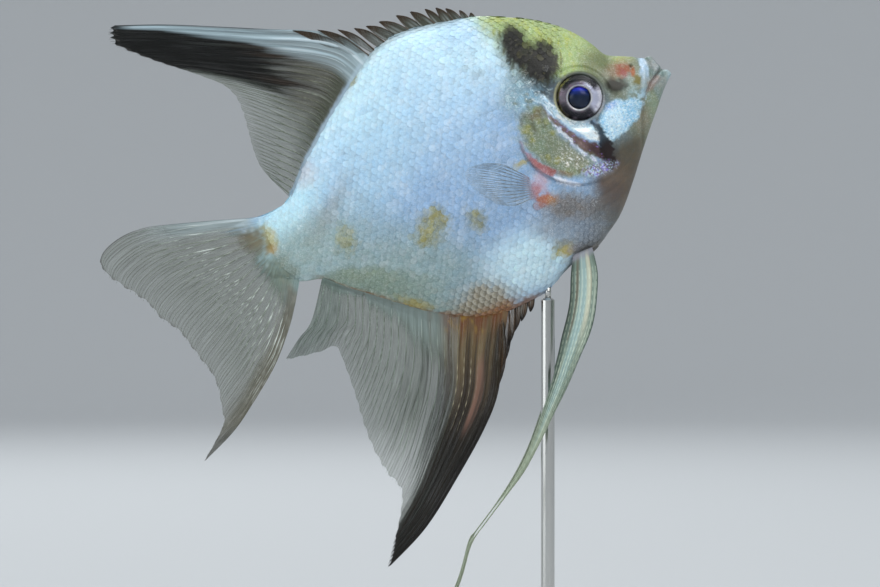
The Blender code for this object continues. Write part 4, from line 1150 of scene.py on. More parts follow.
def eye_paint(places):
    """Silvery mauve iris: bright in front, black above and below, a pale ring at the pupil."""
    s, t = places[..., 0] - EYE_AT[0], places[..., 2] - EYE_AT[1]
    r = np.hypot(s, t)
    cosine, sine = pitched(s, t) / np.maximum(r, 1e-6)
    share = (r - PUPIL_RADIUS) / (IRIS_RADIUS - PUPIL_RADIUS)
    around = np.stack([cosine * 3.0, sine * 3.0, r * 0.5], -1)
    fleck = grain(around * 6, 1.0, 23)
    cloud = grain(around * 1.6, 1.0, 29)
    rays = grain(np.stack([cosine * 9.0, sine * 9.0, r * 0.7], -1), 1.0, 27)
    paint = plain(s, 112, 108, 118)
    lay(paint, 0.6 * ease(cloud, 0.45, 0.7), 134, 112, 128)
    lay(paint, 0.6 * ease(rays, 0.45, 0.25), 66, 62, 72)
    lay(paint, 0.5 * ease(fleck, 0.6, 0.8), 168, 166, 180)
    below = ease(-sine + 0.25 * (fleck - 0.5), 0.10, 0.60) * ease(share, 0.14, 0.34)
    below = below * (1 - 0.55 * ease(share, 0.62, 0.78) * ease(cloud, 0.40, 0.65))
    lay(paint, 0.94 * below, 26, 26, 34)
    front = ease(cosine + 0.30 * sine + 0.25 * (cloud - 0.5), 0.40, 0.82) * ease(share, 0.02, 0.14)
    coats(paint, front, (0.96, 200, 204, 226),
          (0.9, 244, 244, 254, ease(share + 0.3 * (fleck - 0.5), 0.50, 0.80)),
          (0.55, 140, 128, 160, ease(rays, 0.45, 0.25)))
    above = (ease(sine + 0.12 * (fleck - 0.5), 0.30, 0.62)
             * ease(share + 0.1 * (fleck - 0.5), 0.30, 0.46))
    lay(paint, 0.97 * above, 17, 21, 22)
    blue = 0.6 * ease(sine, 0.8, 1.0) * ease(share, 0.30, 0.12) * ease(fleck, 0.5, 0.65)
    lay(paint, blue, 60, 60, 180)
    behind = ease(-cosine, 0.35, 0.85) * ease(share, 0.70, 0.84)
    lay(paint, 0.85 * behind * ease(fleck, 0.30, 0.55), 188, 186, 112)
    foot = 0.6 * ease(-sine, 0.5, 0.9) * ease(share, 0.84, 0.94) * ease(rays, 0.3, 0.6)
    lay(paint, foot, 160, 152, 156)
    lay(paint, 0.97 * ease(share, 0.13, 0.07), 214, 216, 220)
    lay(paint, 0.45 * ease(share, 0.16, 0.04) * ease(cloud, 0.5, 0.3), 150, 138, 146)
    lay(paint, ease(share, 0.01, -0.05), 4, 6, 12)
    return with_share(paint, 0.55 * ease(share, -0.02, 0.05) * (1 - above) * (1 - 0.85 * below))


iris_silver, tree, shader = new_material("eye_iris", roughness=0.30, Specular_IOR_Level=0.12)
hide = painted_place(tree)
feed(tree, shader, Base_Color=hide, Metallic=hide.outputs["Alpha"])
bumped(tree, shader, object_grain(tree, 2600.0), 0.00006, 0.6)

lens_dark, tree, shader = new_material("eye_lens", (0.008, 0.016, 0.045), 0.05,
                                       Specular_IOR_Level=0.15, Coat_Weight=0.1,
                                       Coat_Roughness=0.02)
eye_height = posed([(EYE_AT[0], 0.0, EYE_AT[1])])[0][2]
height = add_node(tree, "SeparateXYZ", Vector=object_place(tree))
band = spread(tree, height.outputs["Z"], eye_height + 0.3 * MM, eye_height + 2.0 * MM, 0.0, 1.0)
feed(tree, shader, Base_Color=ramp(
    tree, band, (0.0, (0.008, 0.016, 0.040)), (0.45, (0.006, 0.022, 0.160)),
    (0.75, (0.010, 0.030, 0.55)), (1.0, (0.12, 0.08, 0.60))))

cornea_clear, _, _ = new_material("eye_cornea", (1.0, 1.0, 1.0), 0.02, IOR=1.05,
                                  Transmission_Weight=1.0, Coat_Weight=0.12,
                                  Coat_Roughness=0.03)

quarter = np.linspace(0, math.pi / 2, 22)
iris = [(max(r, 0.0005), y) for r, y in smooth_path(IRIS_PROFILE, 64)]
lens = [(PUPIL_RADIUS * math.sin(a) * 0.99 + 0.0005, 5.25 + 1.10 * math.cos(a))
        for a in np.linspace(0, math.pi, 26)]
cornea = [(4.14 * math.sin(a) + 0.0005, 5.30 + 1.72 * math.cos(a)) for a in quarter]
cornea += [(4.10 * math.sin(a) + 0.0005, 5.26 + 1.62 * math.cos(a)) for a in quarter[::-1]]
for side, label in ((1.0, "left"), (-1.0, "right")):
    for part, profile, segments, material in (("iris", iris, 120, iris_silver),
                                              ("lens", lens, 64, lens_dark),
                                              ("cornea", cornea, 64, cornea_clear)):
        rings = eye_rings(side, profile, segments)
        piece = make_piece("eye_%s_%s" % (part, label), posed(rings),
                           grid_faces(len(profile), segments, True, flip=side > 0), material)
        if part == "iris":
            add_colour(piece, eye_paint(rings))
            place_piece(piece, "eye_silver", "eye_" + label)
        else:
            place_piece(piece, "eye_silver")

# ---------------------------------------------------------------- fins: how each is built
# A fin is a thin clear film spread on a fan of jointed, forking rays.  The film is a closed
# sheet with a hollowed margin between the rays; each ray is a fine tapering rod in it.
def fan(base, margin, front, rear, warp=((0, 0), (1, 1)), grip=1.0):
    """A sheet between four edges: place(u, v) with u from front to rear, v outwards.

    The more grip, the sooner the rays leave off following the front and rear edges.
    """
    steps = np.linspace(0, 1, 300)
    b, m, f, r = (smooth_path(path, 300) for path in (base, margin, front, rear))

    def pick(line, share):
        return np.stack([np.interp(share, steps, line[:, k]) for k in (0, 1)], axis=-1)

    def place(u, v):
        w = np.interp(u, *np.transpose(warp))
        across, along = u[..., None], v[..., None]
        ahead = pick(f, v) - (1 - along) * f[0] - along * f[-1]
        behind = pick(r, v) - (1 - along) * r[0] - along * r[-1]
        return ((1 - along) * pick(b, u) + along * pick(m, w)
                + (1 - across) ** grip * ahead + across ** grip * behind)
    return place


def body_edge(line, s_front, s_rear, lift, count=9):
    """Base of a fin: the body's own line between two stations, moved up by lift."""
    return [(s, float(height_on(line, s)) + lift) for s in np.linspace(s_front, s_rear, count)]


def strands(u, v, across, along, seed):
    """Noise drawn out along the rays, by how often it repeats across and along them."""
    return grain(np.stack([u * across, v * along, 0 * u], -1), 1.0, seed)


def film_material(name, gloss):
    """Clear film: painted colour and cover, drawn finer by streaks along the rays."""
    material, tree, shader = new_material(name, roughness=gloss, Specular_IOR_Level=0.2,
                                          Coat_Weight=0.05, Coat_Roughness=0.2)
    hide = painted_place(tree)
    rays = add_node(tree, "UVMap", set_uv_map="fin")
    stretched = add_node(tree, "Mapping", Vector=rays, Scale=(260.0, 5.0, 1.0))
    streaks = add_node(tree, "TexNoise", Vector=stretched, Scale=1.0, Detail=2.0)
    shade = ramp(tree, streaks, (0.35, (0.62, 0.62, 0.62)), (0.65, (1.25, 1.28, 1.3)))
    tinted = add_node(tree, "Mix", set_data_type="RGBA", set_blend_type="MULTIPLY", i0=0.8,
                      i6=hide, i7=shade)
    uneven = spread(tree, streaks, 0.3, 0.7, 1.2, 0.75)
    cover = add_node(tree, "Math", set_operation="MULTIPLY", set_use_clamp=True,
                     i0=hide.outputs["Alpha"], i1=uneven)
    feed(tree, shader, Base_Color=tinted.outputs[2], Alpha=cover)
    bumped(tree, shader, streaks, 0.00005, 0.7)
    return material


def ray_waves(u, v, rays, pleat):
    """How far the film and its rays weave from side to side."""
    return pleat * np.cos(2 * math.pi * u * rays) * ease(v, 0.02, 0.3)


def make_film(name, sheet, side, paint, rays, material, root=1.0, hollow=0.02, rows=48,
              pleat=0.06, thin=0.13, flesh=0.07, gather=1.35):
    """The film of a fin: sheet(u, v) gives (s, t), side(u, v) its y."""
    count = rays * 7 + 1
    u, v = np.meshgrid(np.linspace(0, 1, count), np.linspace(0, 1, rows) ** gather,
                       indexing="ij")
    notch = np.abs(np.cos(math.pi * u * rays)) ** 0.7
    depth = hollow * (0.55 + 0.9 * strands(u * rays, 0 * u, 0.7, 1, 31))
    reach = v * (1 - depth * notch * ease(v, 0.3, 1.0))
    place = sheet(u, reach)
    middle = side(u, reach) + ray_waves(u, reach, rays, pleat)
    if callable(root):
        half = 0.5 * thin + root(u, reach, place)
    else:
        full = root * ease(np.minimum(u, 1 - u), -0.01, 0.02)
        half = 0.5 * (thin + full * (1 - ease(reach, 0.0, flesh)))
    faces = grid_faces(count, rows)
    shift = count * rows
    faces += [tuple(shift + k for k in quad)[::-1] for quad in faces]
    rim = sheet_rim(count, rows)
    faces += [(b, a, a + shift, b + shift) for a, b in zip(rim, rim[1:] + rim[:1])]
    sheets = [np.stack([place[..., 0], middle + way * half, place[..., 1]], -1)
              for way in (1.0, -1.0)]
    film = make_piece(name, posed(np.stack(sheets)), faces, material)
    add_colour(film, [with_share(*paint(u, reach, place))] * 2)
    both = np.concatenate([np.stack([u, reach], -1).reshape(-1, 2)] * 2)
    add_map(film, "fin", both[corner_places(film.data)])
    return film


RAY_TREE, given = new_tree("fin_ray_rods", ("Sides", "Int"))
curve = add_node(RAY_TREE, "MeshToCurve", Mesh=given)
section = add_node(RAY_TREE, "CurvePrimitiveCircle", Resolution=given.outputs["Sides"],
                   Radius=1.0)
rods = add_node(RAY_TREE, "CurveToMesh", Curve=curve, i1=section, Fill_Caps=True,
                Scale=named(RAY_TREE, "ray_radius", "FLOAT"))
end_tree(RAY_TREE, given, add_node(RAY_TREE, "SetShadeSmooth", Geometry=rods))


def make_rays(name, lines, slot, sides=6):
    """Rods from (places, radii, colours) lines, as one piece."""
    places, radii, colours = (np.concatenate(part) for part in zip(*lines))
    edges, start = [], 0
    for line in lines:
        edges += [(start + i, start + i + 1) for i in range(len(line[0]) - 1)]
        start += len(line[0])
    mesh = bpy.data.meshes.new(name)
    mesh.from_pydata([tuple(p) for p in posed(places)], edges, [])
    add_layer(mesh, "ray_radius", radii * MM)
    add_layer(mesh, "hide", colours)
    place_piece(run_tree(name, mesh, RAY_TREE, Sides=sides, Material=ray_ivory), slot)


RAY_START = 0.01                 # how far out on the sheet a ray begins


def ray_lines(sheet, side, paint, rays, thick, forks=(0.40, 0.72), steps=54, joint=0.8,
              pleat=0.06):
    """Forking jointed rays over a sheet; paint(u, v, place, bright) colours them."""
    lines = []
    for k in range(rays):
        middle = (k + 0.5) / rays
        wobble = float(grain(np.array([[k * 1.7, 0.3, 0.1]]), 1.0, 37)[0]) - 0.5
        for branch, start in ((0, RAY_START), (1, forks[0]), (2, forks[1]), (3, forks[1])):
            v = np.linspace(start, 1.0, max(int(steps * (1 - start)), 6))
            major, minor = (1 if branch in (0, 2) else -1), (1 if branch in (0, 1) else -1)
            u = middle + (0.22 * major * ease(v, forks[0], forks[0] + 0.25)
                          + 0.11 * minor * ease(v, forks[1], forks[1] + 0.2)) / rays
            v = v * (1 - 0.012 * abs(wobble) * branch)
            flat = sheet(u, v)
            run = run_along(flat)
            y = side(u, v) + ray_waves(u, v, rays, pleat)
            radius = thick * (1 - 0.84 * v) * (1 + 0.16 * np.sin(2 * math.pi * run / joint))
            bright = (0.5 + 0.5 * np.sin(2 * math.pi * (run / joint + wobble))) ** 2
            lines.append((np.stack([flat[:, 0], y, flat[:, 1]], -1), radius,
                          with_share(*paint(u, v, flat, bright))))
    return lines


def make_fin(name, node, slot, sheet, side, paint, rays, thick, film=None, **ray_sizes):
    """A fin's film and its rays, which take the place of one solid."""
    place_piece(make_film(name % "film", sheet, side, paint, rays, FILMS[slot], **(film or {})),
                slot, node)
    make_rays(name % "rays", ray_lines(sheet, side, paint, rays, thick, **ray_sizes), slot)


ray_ivory, tree, shader = new_material("fin_ray", roughness=0.32, Specular_IOR_Level=0.2,
                                       Coat_Weight=0.06)
hide = painted_place(tree)
feed(tree, shader, Base_Color=hide, Metallic=hide.outputs["Alpha"])
FILMS = {name: film_material(name, gloss) for name, gloss in (
    ("fin_smoky", 0.34), ("fin_clear", 0.34), ("fin_cream", 0.40))}

# ---------------------------------------------------------------- dorsal fin
# Thirteen short stiff spines with dark flaps, each given by its root along the back and its
# tip, then a soft fin whose front rays sweep back into a long black pennant; behind them it
# thins to a clear fan.
DORSAL_SPINES = [
    (50.7, 50.4, 24.6), (49.6, 48.7, 25.8), (48.5, 46.6, 27.1), (46.9, 45, 27.9),
    (45.2, 43.1, 28.5), (43.7, 40.5, 29.1), (41.4, 37.9, 29.5), (39, 34.6, 29.7),
    (36.4, 32.1, 29.9), (34, 29.9, 30.4), (31.8, 27, 31.4), (30.5, 23.6, 32.8), (29.4, 19.4, 34.5)]
DORSAL_LEADING = [(29.4, 24.2), (27.6, 28.6), (24.2, 31.6), (20.2, 33.9), (16, 35.9), (8, 40),
                  (-1.5, 44.8), (-10.9, 48.9)]
DORSAL_MARGIN = [
    (-10.9, 48.9), (-12, 47), (-11.4, 45), (-8, 41.5), (-4.5, 38.3), (-1.5, 35.7), (1.1, 33.3),
    (3.6, 30.8), (5, 28), (5.2, 24.9), (4.8, 21.1), (4.3, 17.3), (4.3, 14), (5.2, 11)]
FLAP_ROWS, FLAP_COLUMNS = 10, 7


def spine_flaps(roots, tips, flap_colour, tip_colour, widths):
    """Rods for the spines and, as closed flaps, the film behind each of them."""
    places, faces, colours, lines = [], [], [], []
    v, u = np.linspace(0, 1, FLAP_ROWS)[:, None], np.linspace(0, 1, FLAP_COLUMNS)
    one = FLAP_ROWS * FLAP_COLUMNS
    rim = sheet_rim(FLAP_ROWS, FLAP_COLUMNS)
    rim = rim[:1] + rim[:0:-1]
    cells = grid_faces(FLAP_ROWS, FLAP_COLUMNS)
    for k, (root, end, wide) in enumerate(zip(roots, tips, widths)):
        back = roots[k + 1] if k + 1 < len(roots) else root + (root - roots[k - 1])
        back = root + (back - root) * wide
        stem = end - root
        lean = np.array([-stem[1], stem[0]]) * np.sign(
            stem[0] * (back - root)[1] - stem[1] * (back - root)[0])
        front_line = root + stem * v - 0.09 * lean * np.sin(math.pi * v ** 1.3)
        heel = end + 0.10 * (back - root)
        rear_line = back + (heel - back) * v + 0.05 * wide * lean * np.sin(math.pi * v ** 0.8)
        grid = front_line[:, None] * (1 - u[None, :, None]) + rear_line[:, None] * u[None, :, None]
        shift = 0.10 * (-1) ** k
        for way in (1.0, -1.0):
            start = len(places)
            for i, j in np.ndindex(FLAP_ROWS, FLAP_COLUMNS):
                rise = np.array(i / (FLAP_ROWS - 1.0))
                thick = 0.5 * (0.14 + 0.5 * (1 - rise) ** 2) * (1 - 0.5 * j / (FLAP_COLUMNS - 1.0))
                places.append((grid[i, j, 0], way * thick + shift, grid[i, j, 1]))
                shade = ease(rise + 0.15 * math.sin(3 * j + k), 0.25, 0.80)
                streak = 0.6 * ease(np.array(math.sin(2.6 * j + k)), 0.2, 1.0)
                colour = flap_colour + (tip_colour - flap_colour) * shade
                colour = colour + (tone(160, 168, 166) - colour) * streak * (1 - shade)
                cover = 0.92 * (wide + (1 - wide) * ease(rise, 0.30, 0.85))
                colours.append((*colour, cover))
            faces += [tuple(start + n for n in cell[::-int(way)]) for cell in cells]
        near, far = len(places) - 2 * one, len(places) - one
        faces += [(near + b, near + a, far + a, far + b) for a, b in zip(rim, rim[1:] + rim[:1])]
        share = v[:, 0]
        spine = np.stack([front_line[:, 0], 0 * share + shift, front_line[:, 1]], -1)
        shade = tip_colour * (0.7 + 0.9 * (1 - v))
        lines.append((spine, (0.20 * (1 - 0.7 * share) + 0.02) * (0.5 + 0.5 * wide),
                      with_share(shade, 0.1 + 0 * share)))
    return np.array(places), faces, colours, lines


def make_spines(name, node, line, sink, spines, flap_colour, tip_colour, widths):
    """A spiny fin's rods and flaps, which take the place of one solid."""
    roots = np.array([(s, float(height_on(line, s)) + sink) for s, _, _ in spines])
    places, faces, colours, lines = spine_flaps(roots, np.array(spines)[:, 1:],
                                                tone(*flap_colour), tone(*tip_colour), widths)
    flaps = make_piece(name + "_flaps", posed(places), faces, FILMS["fin_smoky"])
    add_colour(flaps, colours)
    add_map(flaps, "fin", (places[:, [0, 2]] * 0.03)[corner_places(flaps.data)])
    place_piece(flaps, "fin_smoky", node)
    make_rays(name + "_spines", lines, "fin_smoky", sides=8)


make_spines("dorsal_spiny", "dorsal_fin_spiny", BACK_LINE, -0.4, DORSAL_SPINES, (76, 79, 68),
            (62, 50, 38), (1, 1, 1, 1, 1, 1, 0.95, 0.9, 0.8, 0.65, 0.5, 0.36, 0.26))

dorsal_sheet = fan(body_edge(BACK_LINE, 30.4, 7.0, -0.6), DORSAL_MARGIN, DORSAL_LEADING,
                   [(7.0, 6.8), (5.2, 11.0)],
                   ((0, 0), (0.12, 0.06), (0.45, 0.52), (0.7, 0.76), (1, 1)), 1.7)


def dorsal_side(u, v):
    return 3.0 * v ** 2 * np.cos(u * math.pi)


def dorsal_paint(u, v, place, bright=None):
    threads = strands(u, v, 75, 2.2, 41)
    wisps = strands(u, v, 26, 1.3, 42)
    hairs = strands(u, v, 40, 3.0, 44)
    rise = place[..., 1] - height_on(BACK_LINE, place[..., 0])
    veil = plain(u, 102, 112, 98)
    cover = 0.30 - 0.12 * ease(v, 0.6, 1.0)
    brown = ease(u + 0.1 * (wisps - 0.5), 0.80, 0.35) * ease(v, 0.66, 0.25)
    coats(veil, brown, (0.88, 88, 86, 74), (0.5, 138, 144, 134, ease(threads, 0.58, 0.78)))
    cover = cover + 0.40 * brown
    dusky = ease(u, 0.98, 0.60) * ease(rise + 2.0 * (threads - 0.5), 5.5, 0.8)
    lay(veil, 0.65 * dusky, 68, 74, 60)
    cover = cover + 0.20 * dusky
    fringe = ease(rise + 0.5 * (hairs - 0.5), 0.75, 0.05)
    lay(veil, 0.80 * fringe, 176, 198, 216)
    cover = np.maximum(cover, 0.9 * fringe)
    black = ease(v + 0.34 * (wisps - 0.5) + 0.16 * (threads - 0.5), 0.19, 0.46)
    black = black * ease(u + 0.05 * (threads - 0.5) + 0.12 * v, 0.54, 0.42)
    coats(veil, black, (0.985, 8, 8, 8),
          (0.40, 96, 102, 98, ease(threads, 0.66, 0.82), ease(v, 0.95, 0.5)),
          (0.5, 64, 52, 42, ease(wisps, 0.55, 0.75), ease(v, 0.6, 0.35)))
    cover = np.maximum(cover, 0.97 * black)
    pale = np.interp(v, (0.0, 0.25, 0.5, 0.8, 1.0), (0.24, 0.20, 0.100, 0.050, 0.03))
    pale = ease(u + 0.06 * (threads - 0.5), pale, 0.6 * pale) * ease(v, 0.99, 0.90)
    pale = pale * (0.55 + 0.45 * ease(threads, 0.34, 0.56))
    coats(veil, pale, (0.90, 184, 206, 214), (0.85, 222, 236, 242, ease(threads, 0.58, 0.72)))
    cover = np.maximum(cover, 0.88 * pale)
    edge = ease(u, 0.018, 0.006) * ease(v, 0.3, 0.5)
    lay(veil, 0.8 * edge, 44, 46, 44)
    cover = np.maximum(cover, 0.8 * edge)
    if bright is None:
        return veil, np.clip(cover, 0, 1)
    dots = bright * ease(v, 0.06, 0.2) * (1 - 0.9 * black)
    ray = lay(veil * 0.80, 0.08 + 0.22 * dots, 176, 184, 164)
    lay(ray, 0.6 * pale, 184, 202, 212)
    lay(ray, 0.9 * black * (1 - pale), 8, 8, 8)
    return ray, 0.15 * dots


make_fin("dorsal_soft_%s", "dorsal_fin_soft", "fin_smoky", dorsal_sheet, dorsal_side,
         dorsal_paint, 25, 0.12)

# ---------------------------------------------------------------- anal fin
# The dorsal fin's mirror below: short spines, a golden brown root that darkens to a black
# front edge and tip, and a wide clear web of fine rays behind.
ANAL_SPINES = [(40.4, 38.8, -29.6), (39.1, 36.6, -30.5), (37.8, 34.6, -31.8), (36.6, 32.4, -33.8),
               (35.4, 29.8, -37), (34.2, 26.9, -40.7)]
ANAL_LEADING = [(33.4, -27.5), (29.4, -34.6), (26, -41), (21.3, -46), (14.1, -51.8), (5.4, -58),
                (-3.6, -62)]
ANAL_MARGIN = [
    (-3.6, -62), (-0.8, -58.3), (2.4, -53.9), (4.2, -50), (3, -46), (2.5, -40.5), (2.8, -35.3),
    (3.3, -31.7), (3.8, -25.2), (3.6, -21.4), (1, -21.2), (-2.4, -20.7), (-5.9, -20)]
make_spines("anal_spiny", "anal_fin_spiny", BELLY_LINE, 0.4, ANAL_SPINES, (92, 68, 44),
            (26, 22, 18), (1, 0.9, 0.8, 0.6, 0.45, 0.32))
anal_sheet = fan(body_edge(BELLY_LINE, 35.4, 6.6, 0.6), ANAL_MARGIN, ANAL_LEADING,
                 [(6.6, -8.7), (1.6, -15.2), (-2.0, -17.4), (-5.9, -20.0)],
                 ((0, 0), (0.25, 0.10), (0.5, 0.38), (1, 1)), 1.6)


def anal_side(u, v):
    return -3.0 * v ** 2 * np.cos(u * math.pi)


ANAL_FRONT = [(0.0, (122, 74, 42)), (0.04, (118, 84, 52)), (0.11, (116, 98, 68)),
              (0.25, (86, 72, 54)), (0.40, (46, 38, 31)), (0.56, (20, 16, 13)),
              (1.0, (12, 10, 9))]


def anal_paint(u, v, place, bright=None):
    threads = strands(u, v, 75, 2.2, 43)
    wisps = strands(u, v, 30, 1.4, 45)
    s, t = place[..., 0], place[..., 1]
    drop = height_on(BELLY_LINE, s) - t
    veil = plain(u, 102, 112, 96)
    cover = 0.34 - 0.10 * ease(v, 0.6, 1.0)
    deep = np.interp(u, (0.30, 0.42, 0.60, 0.85), (0.36, 0.32, 0.18, 0.13))
    haze = ease(v + 0.12 * (wisps - 0.5) + 0.05 * (threads - 0.5), deep, 0.25 * deep)
    haze = haze * ease(u, 0.22, 0.36)
    lay(veil, 0.85 * haze, 140, 156, 152)
    cover = cover + 0.44 * haze
    lobe = ease(u, 0.84, 0.93)
    lay(veil, 0.6 * lobe, 104, 122, 112)
    cover = cover + 0.14 * lobe
    dark = ease(u, 0.26, 0.34) * ease(u, 0.60, 0.40) * ease(v, 0.10, 0.28) * ease(v, 0.95, 0.6)
    lay(veil, 0.75 * dark * ease(threads, 0.42, 0.62), 50, 55, 48)
    cover = cover + 0.22 * dark * ease(threads, 0.3, 0.6)
    front = ease(u + 0.12 * (threads - 0.5) + 0.10 * (wisps - 0.5), 0.45, 0.21)
    stage = v + 0.18 * (wisps - 0.5) + 0.06 * (threads - 0.5)
    tones = np.array([tone(*colour) for _, colour in ANAL_FRONT])
    brown = np.stack([np.interp(stage, [at for at, _ in ANAL_FRONT], tones[:, k])
                      for k in range(3)], -1)
    lay(veil, 0.97 * front, brown)
    coats(veil, front, (0.50, 144, 130, 98, ease(threads, 0.56, 0.74), ease(v, 0.42, 0.2)),
          (0.70, 44, 36, 28, ease(threads, 0.50, 0.3), ease(v, 0.02, 0.10)))
    gilt = ease(grain(np.stack([s, 0 * u, t], -1), (0.5, 1.0, 1.2), 46), 0.56, 0.70)
    lay(veil, 0.75 * front * gilt * ease(u, 0.09, 0.14)
        * ease(drop + 3.0 * (wisps - 0.5), 4.0, 1.0), 164, 132, 56)
    cover = np.maximum(cover, (0.93 - 0.10 * ease(v, 0.30, 0.08)) * front)
    pink = ease(np.abs(u - 0.125 + 0.03 * (wisps - 0.5)), 0.028, 0.006)
    pink = pink * ease(v, 0.12, 0.22) * ease(v, 0.50, 0.38) * ease(threads, 0.25, 0.5)
    lay(veil, 0.65 * pink, 150, 112, 98)
    edge = ease(u + 0.03 * (wisps - 0.5), 0.085, 0.035) * ease(v, 0.02, 0.08)
    lay(veil, 0.85 * edge, 24, 20, 17)
    if bright is None:
        return veil, np.clip(cover, 0, 1)
    dots = bright * ease(v, 0.03, 0.12)
    ray = lay(veil * 0.85, (0.12 + 0.40 * dots) * (1 - 0.85 * front), 190, 202, 194)
    beads = dots * front * ease(np.abs(u - 0.22), 0.08, 0.03) * ease(v, 0.15, 0.22)
    lay(ray, 0.75 * beads * ease(v, 0.55, 0.40), 212, 202, 172)
    lay(ray, 0.85 * front * ease(v, 0.35, 0.55), 14, 12, 11)
    return ray, 0.35 * dots * (1 - front)


make_fin("anal_soft_%s", "anal_fin_soft", "fin_smoky", anal_sheet, anal_side, anal_paint, 25,
         0.12, joint=0.6)

# ---------------------------------------------------------------- tail fin
# A wide clear fan on a fleshy root, its outer rays close and pale, the rest beaded with
# silver; the lower corner runs out to a thread.
TAIL_MARGIN = [
    (-29.9, 9.6), (-29.2, 6.4), (-24.9, -0.4), (-23.7, -4), (-21.5, -7.5), (-20.7, -10.5),
    (-19.8, -14.1), (-19, -17), (-19, -20), (-19.8, -23.5), (-20.9, -26.6), (-26.7, -31.2)]
tail_sheet = fan([(1.2, 5.7), (0.6, 3.0), (0.4, -1.0), (0.6, -4.0), (1.2, -5.6), (2.6, -7.6)],
                 TAIL_MARGIN,
                 [(1.2, 5.7), (-1.5, 6.4), (-8.0, 8.7), (-16.8, 11.6), (-20.0, 12.4),
                  (-23.3, 12.6), (-26.3, 12.1), (-28.6, 11.1), (-29.9, 9.6)],
                 [(2.6, -7.6), (1.4, -9.4), (-0.1, -11.6), (-2.9, -15.2), (-7.9, -20.3),
                  (-14.6, -25.2), (-19.6, -28.3), (-26.7, -31.2)])


def tail_side(u, v):
    return 2.4 * v ** 2 * np.cos((u - 0.2) * math.pi)


def half_width_at(s, t):
    """Half the body's width at height t of the slice at s."""
    top, bottom = height_on(BACK_LINE, s), height_on(BELLY_LINE, s)
    middle = height_on(WIDEST_HEIGHT, s)
    reach = np.where(t > middle, top - middle, middle - bottom)
    share = np.clip(np.abs(t - middle) / reach, 0.0, 1.0)
    return height_on(HALF_WIDTH, s) * np.sqrt(1.0 - share ** 2) ** RIDGE_SHARPNESS


def tail_root(u, v, place):
    """The film rises out of the last scales over the stalk's end, and thins beyond it."""
    width = half_width_at(place[..., 0], place[..., 1])
    return np.maximum(width + 0.20 * ease(v, 0.0, 0.06) - 0.12, 0.0) * ease(v, 0.42, 0.14)


def tail_paint(u, v, place, bright=None):
    threads = strands(u, v, 60, 2.2, 47)
    wisps = strands(u, v, 22, 1.5, 48)
    s, t = place[..., 0], place[..., 1]
    level = np.stack([s, 0 * u, t], -1)
    lump, fine = grain(level, 1.3, 49), grain(level, 0.7, 50)
    veil = plain(u, 106, 114, 98)
    cover = 0.34 - 0.08 * ease(v, 0.6, 1.0)
    root = ease(v + 0.22 * (threads - 0.5), 0.36, 0.10)
    coats(veil, root, (0.85, 124, 138, 124), (0.5, 82, 92, 78, ease(threads, 0.5, 0.3)))
    on_body = np.stack([s, half_width_at(s, t), t], -1)
    flesh = marks_and_painted_light(on_body)[0] * (0.90 + 0.2 * fine)[..., None]
    scaly = ease(v + 0.20 * (threads - 0.5) + 0.06 * (wisps - 0.5), 0.24, 0.06)
    lay(veil, scaly, flesh)
    cover = np.maximum(cover, 0.97 * ease(v + 0.14 * (threads - 0.5), 0.34, 0.10))
    smudge = dab(s, t, (-3.0, 2.3), (3.0, 2.0), -23, 0.9, 0.9, lump)
    smudge = smudge * (0.5 + 0.5 * ease(threads + 0.5 * (fine - 0.5), 0.30, 0.60))
    lay(veil, 0.75 * smudge, 122, 108, 84)
    cover = np.maximum(cover, 0.70 * smudge)
    top = ease(u + 0.03 * (threads - 0.5), 0.13, 0.04) * ease(v, 0.85, 0.40)
    coats(veil, top, (0.85, 168, 182, 184, ease(v, 0.04, 0.12)),
          (0.8, 222, 234, 238, ease(threads, 0.52, 0.70), ease(v, 0.06, 0.14)))
    cover = np.maximum(cover, 0.75 * top)
    low = ease(u + 0.05 * (threads - 0.5) + 0.04 * (wisps - 0.5), 0.70, 0.90) * ease(v, 0.02, 0.1)
    coats(veil, low, (0.85, 112, 108, 94), (0.5, 150, 150, 140, ease(fine, 0.5, 0.7)))
    cover = np.maximum(cover, (0.80 - 0.25 * ease(v, 0.5, 1.0)) * low)
    lay(veil, 0.6 * ease(t, -26.5, -29.0), 50, 54, 48)
    rim = ease(u, 0.012, 0.0) * ease(v, 0.55, 0.8) + ease(v, 0.975, 1.0) * ease(u, 0.9, 0.6)
    lay(veil, 0.6 * rim, 60, 54, 50)
    cover = np.maximum(cover, 0.5 * rim)
    if bright is None:
        return veil, np.clip(cover, 0, 1)
    inner = ease(u, 0.02, 0.10) * ease(u, 0.98, 0.85)
    dots = bright ** 1.4 * ease(v, 0.09, 0.17) * ease(v, 0.85, 0.40) * (0.35 + 0.65 * inner)
    ray = lay(veil * 0.92, ease(v, 0.08, 0.16) * (0.16 + 0.22 * ease(v, 0.5, 0.2))
              + 0.85 * dots, 220, 228, 222)
    lay(ray, 0.4 * ease(v, 0.6, 0.95), 100, 102, 92)
    return ray, 0.5 * dots


make_fin("tail_%s", "tail_fin", "fin_clear", tail_sheet, tail_side, tail_paint, 17, 0.14,
         dict(root=tail_root, hollow=0.015, rows=64), forks=(0.30, 0.58), joint=0.62)

# ---------------------------------------------------------------- pectoral fins
# A small clear paddle behind each gill cover, standing a little out from the side, with
# a pink root.
pectoral_sheet = fan([(48.0, -7.2), (47.6, -11.0)],
                     [(41.6, -2.0), (38.6, -1.6), (37.2, -3.0), (38.4, -6.4), (40.6, -9.6)],
                     [(48.0, -7.2), (44.8, -3.6), (41.6, -2.0)],
                     [(47.6, -11.0), (43.8, -11.2), (40.6, -9.6)])


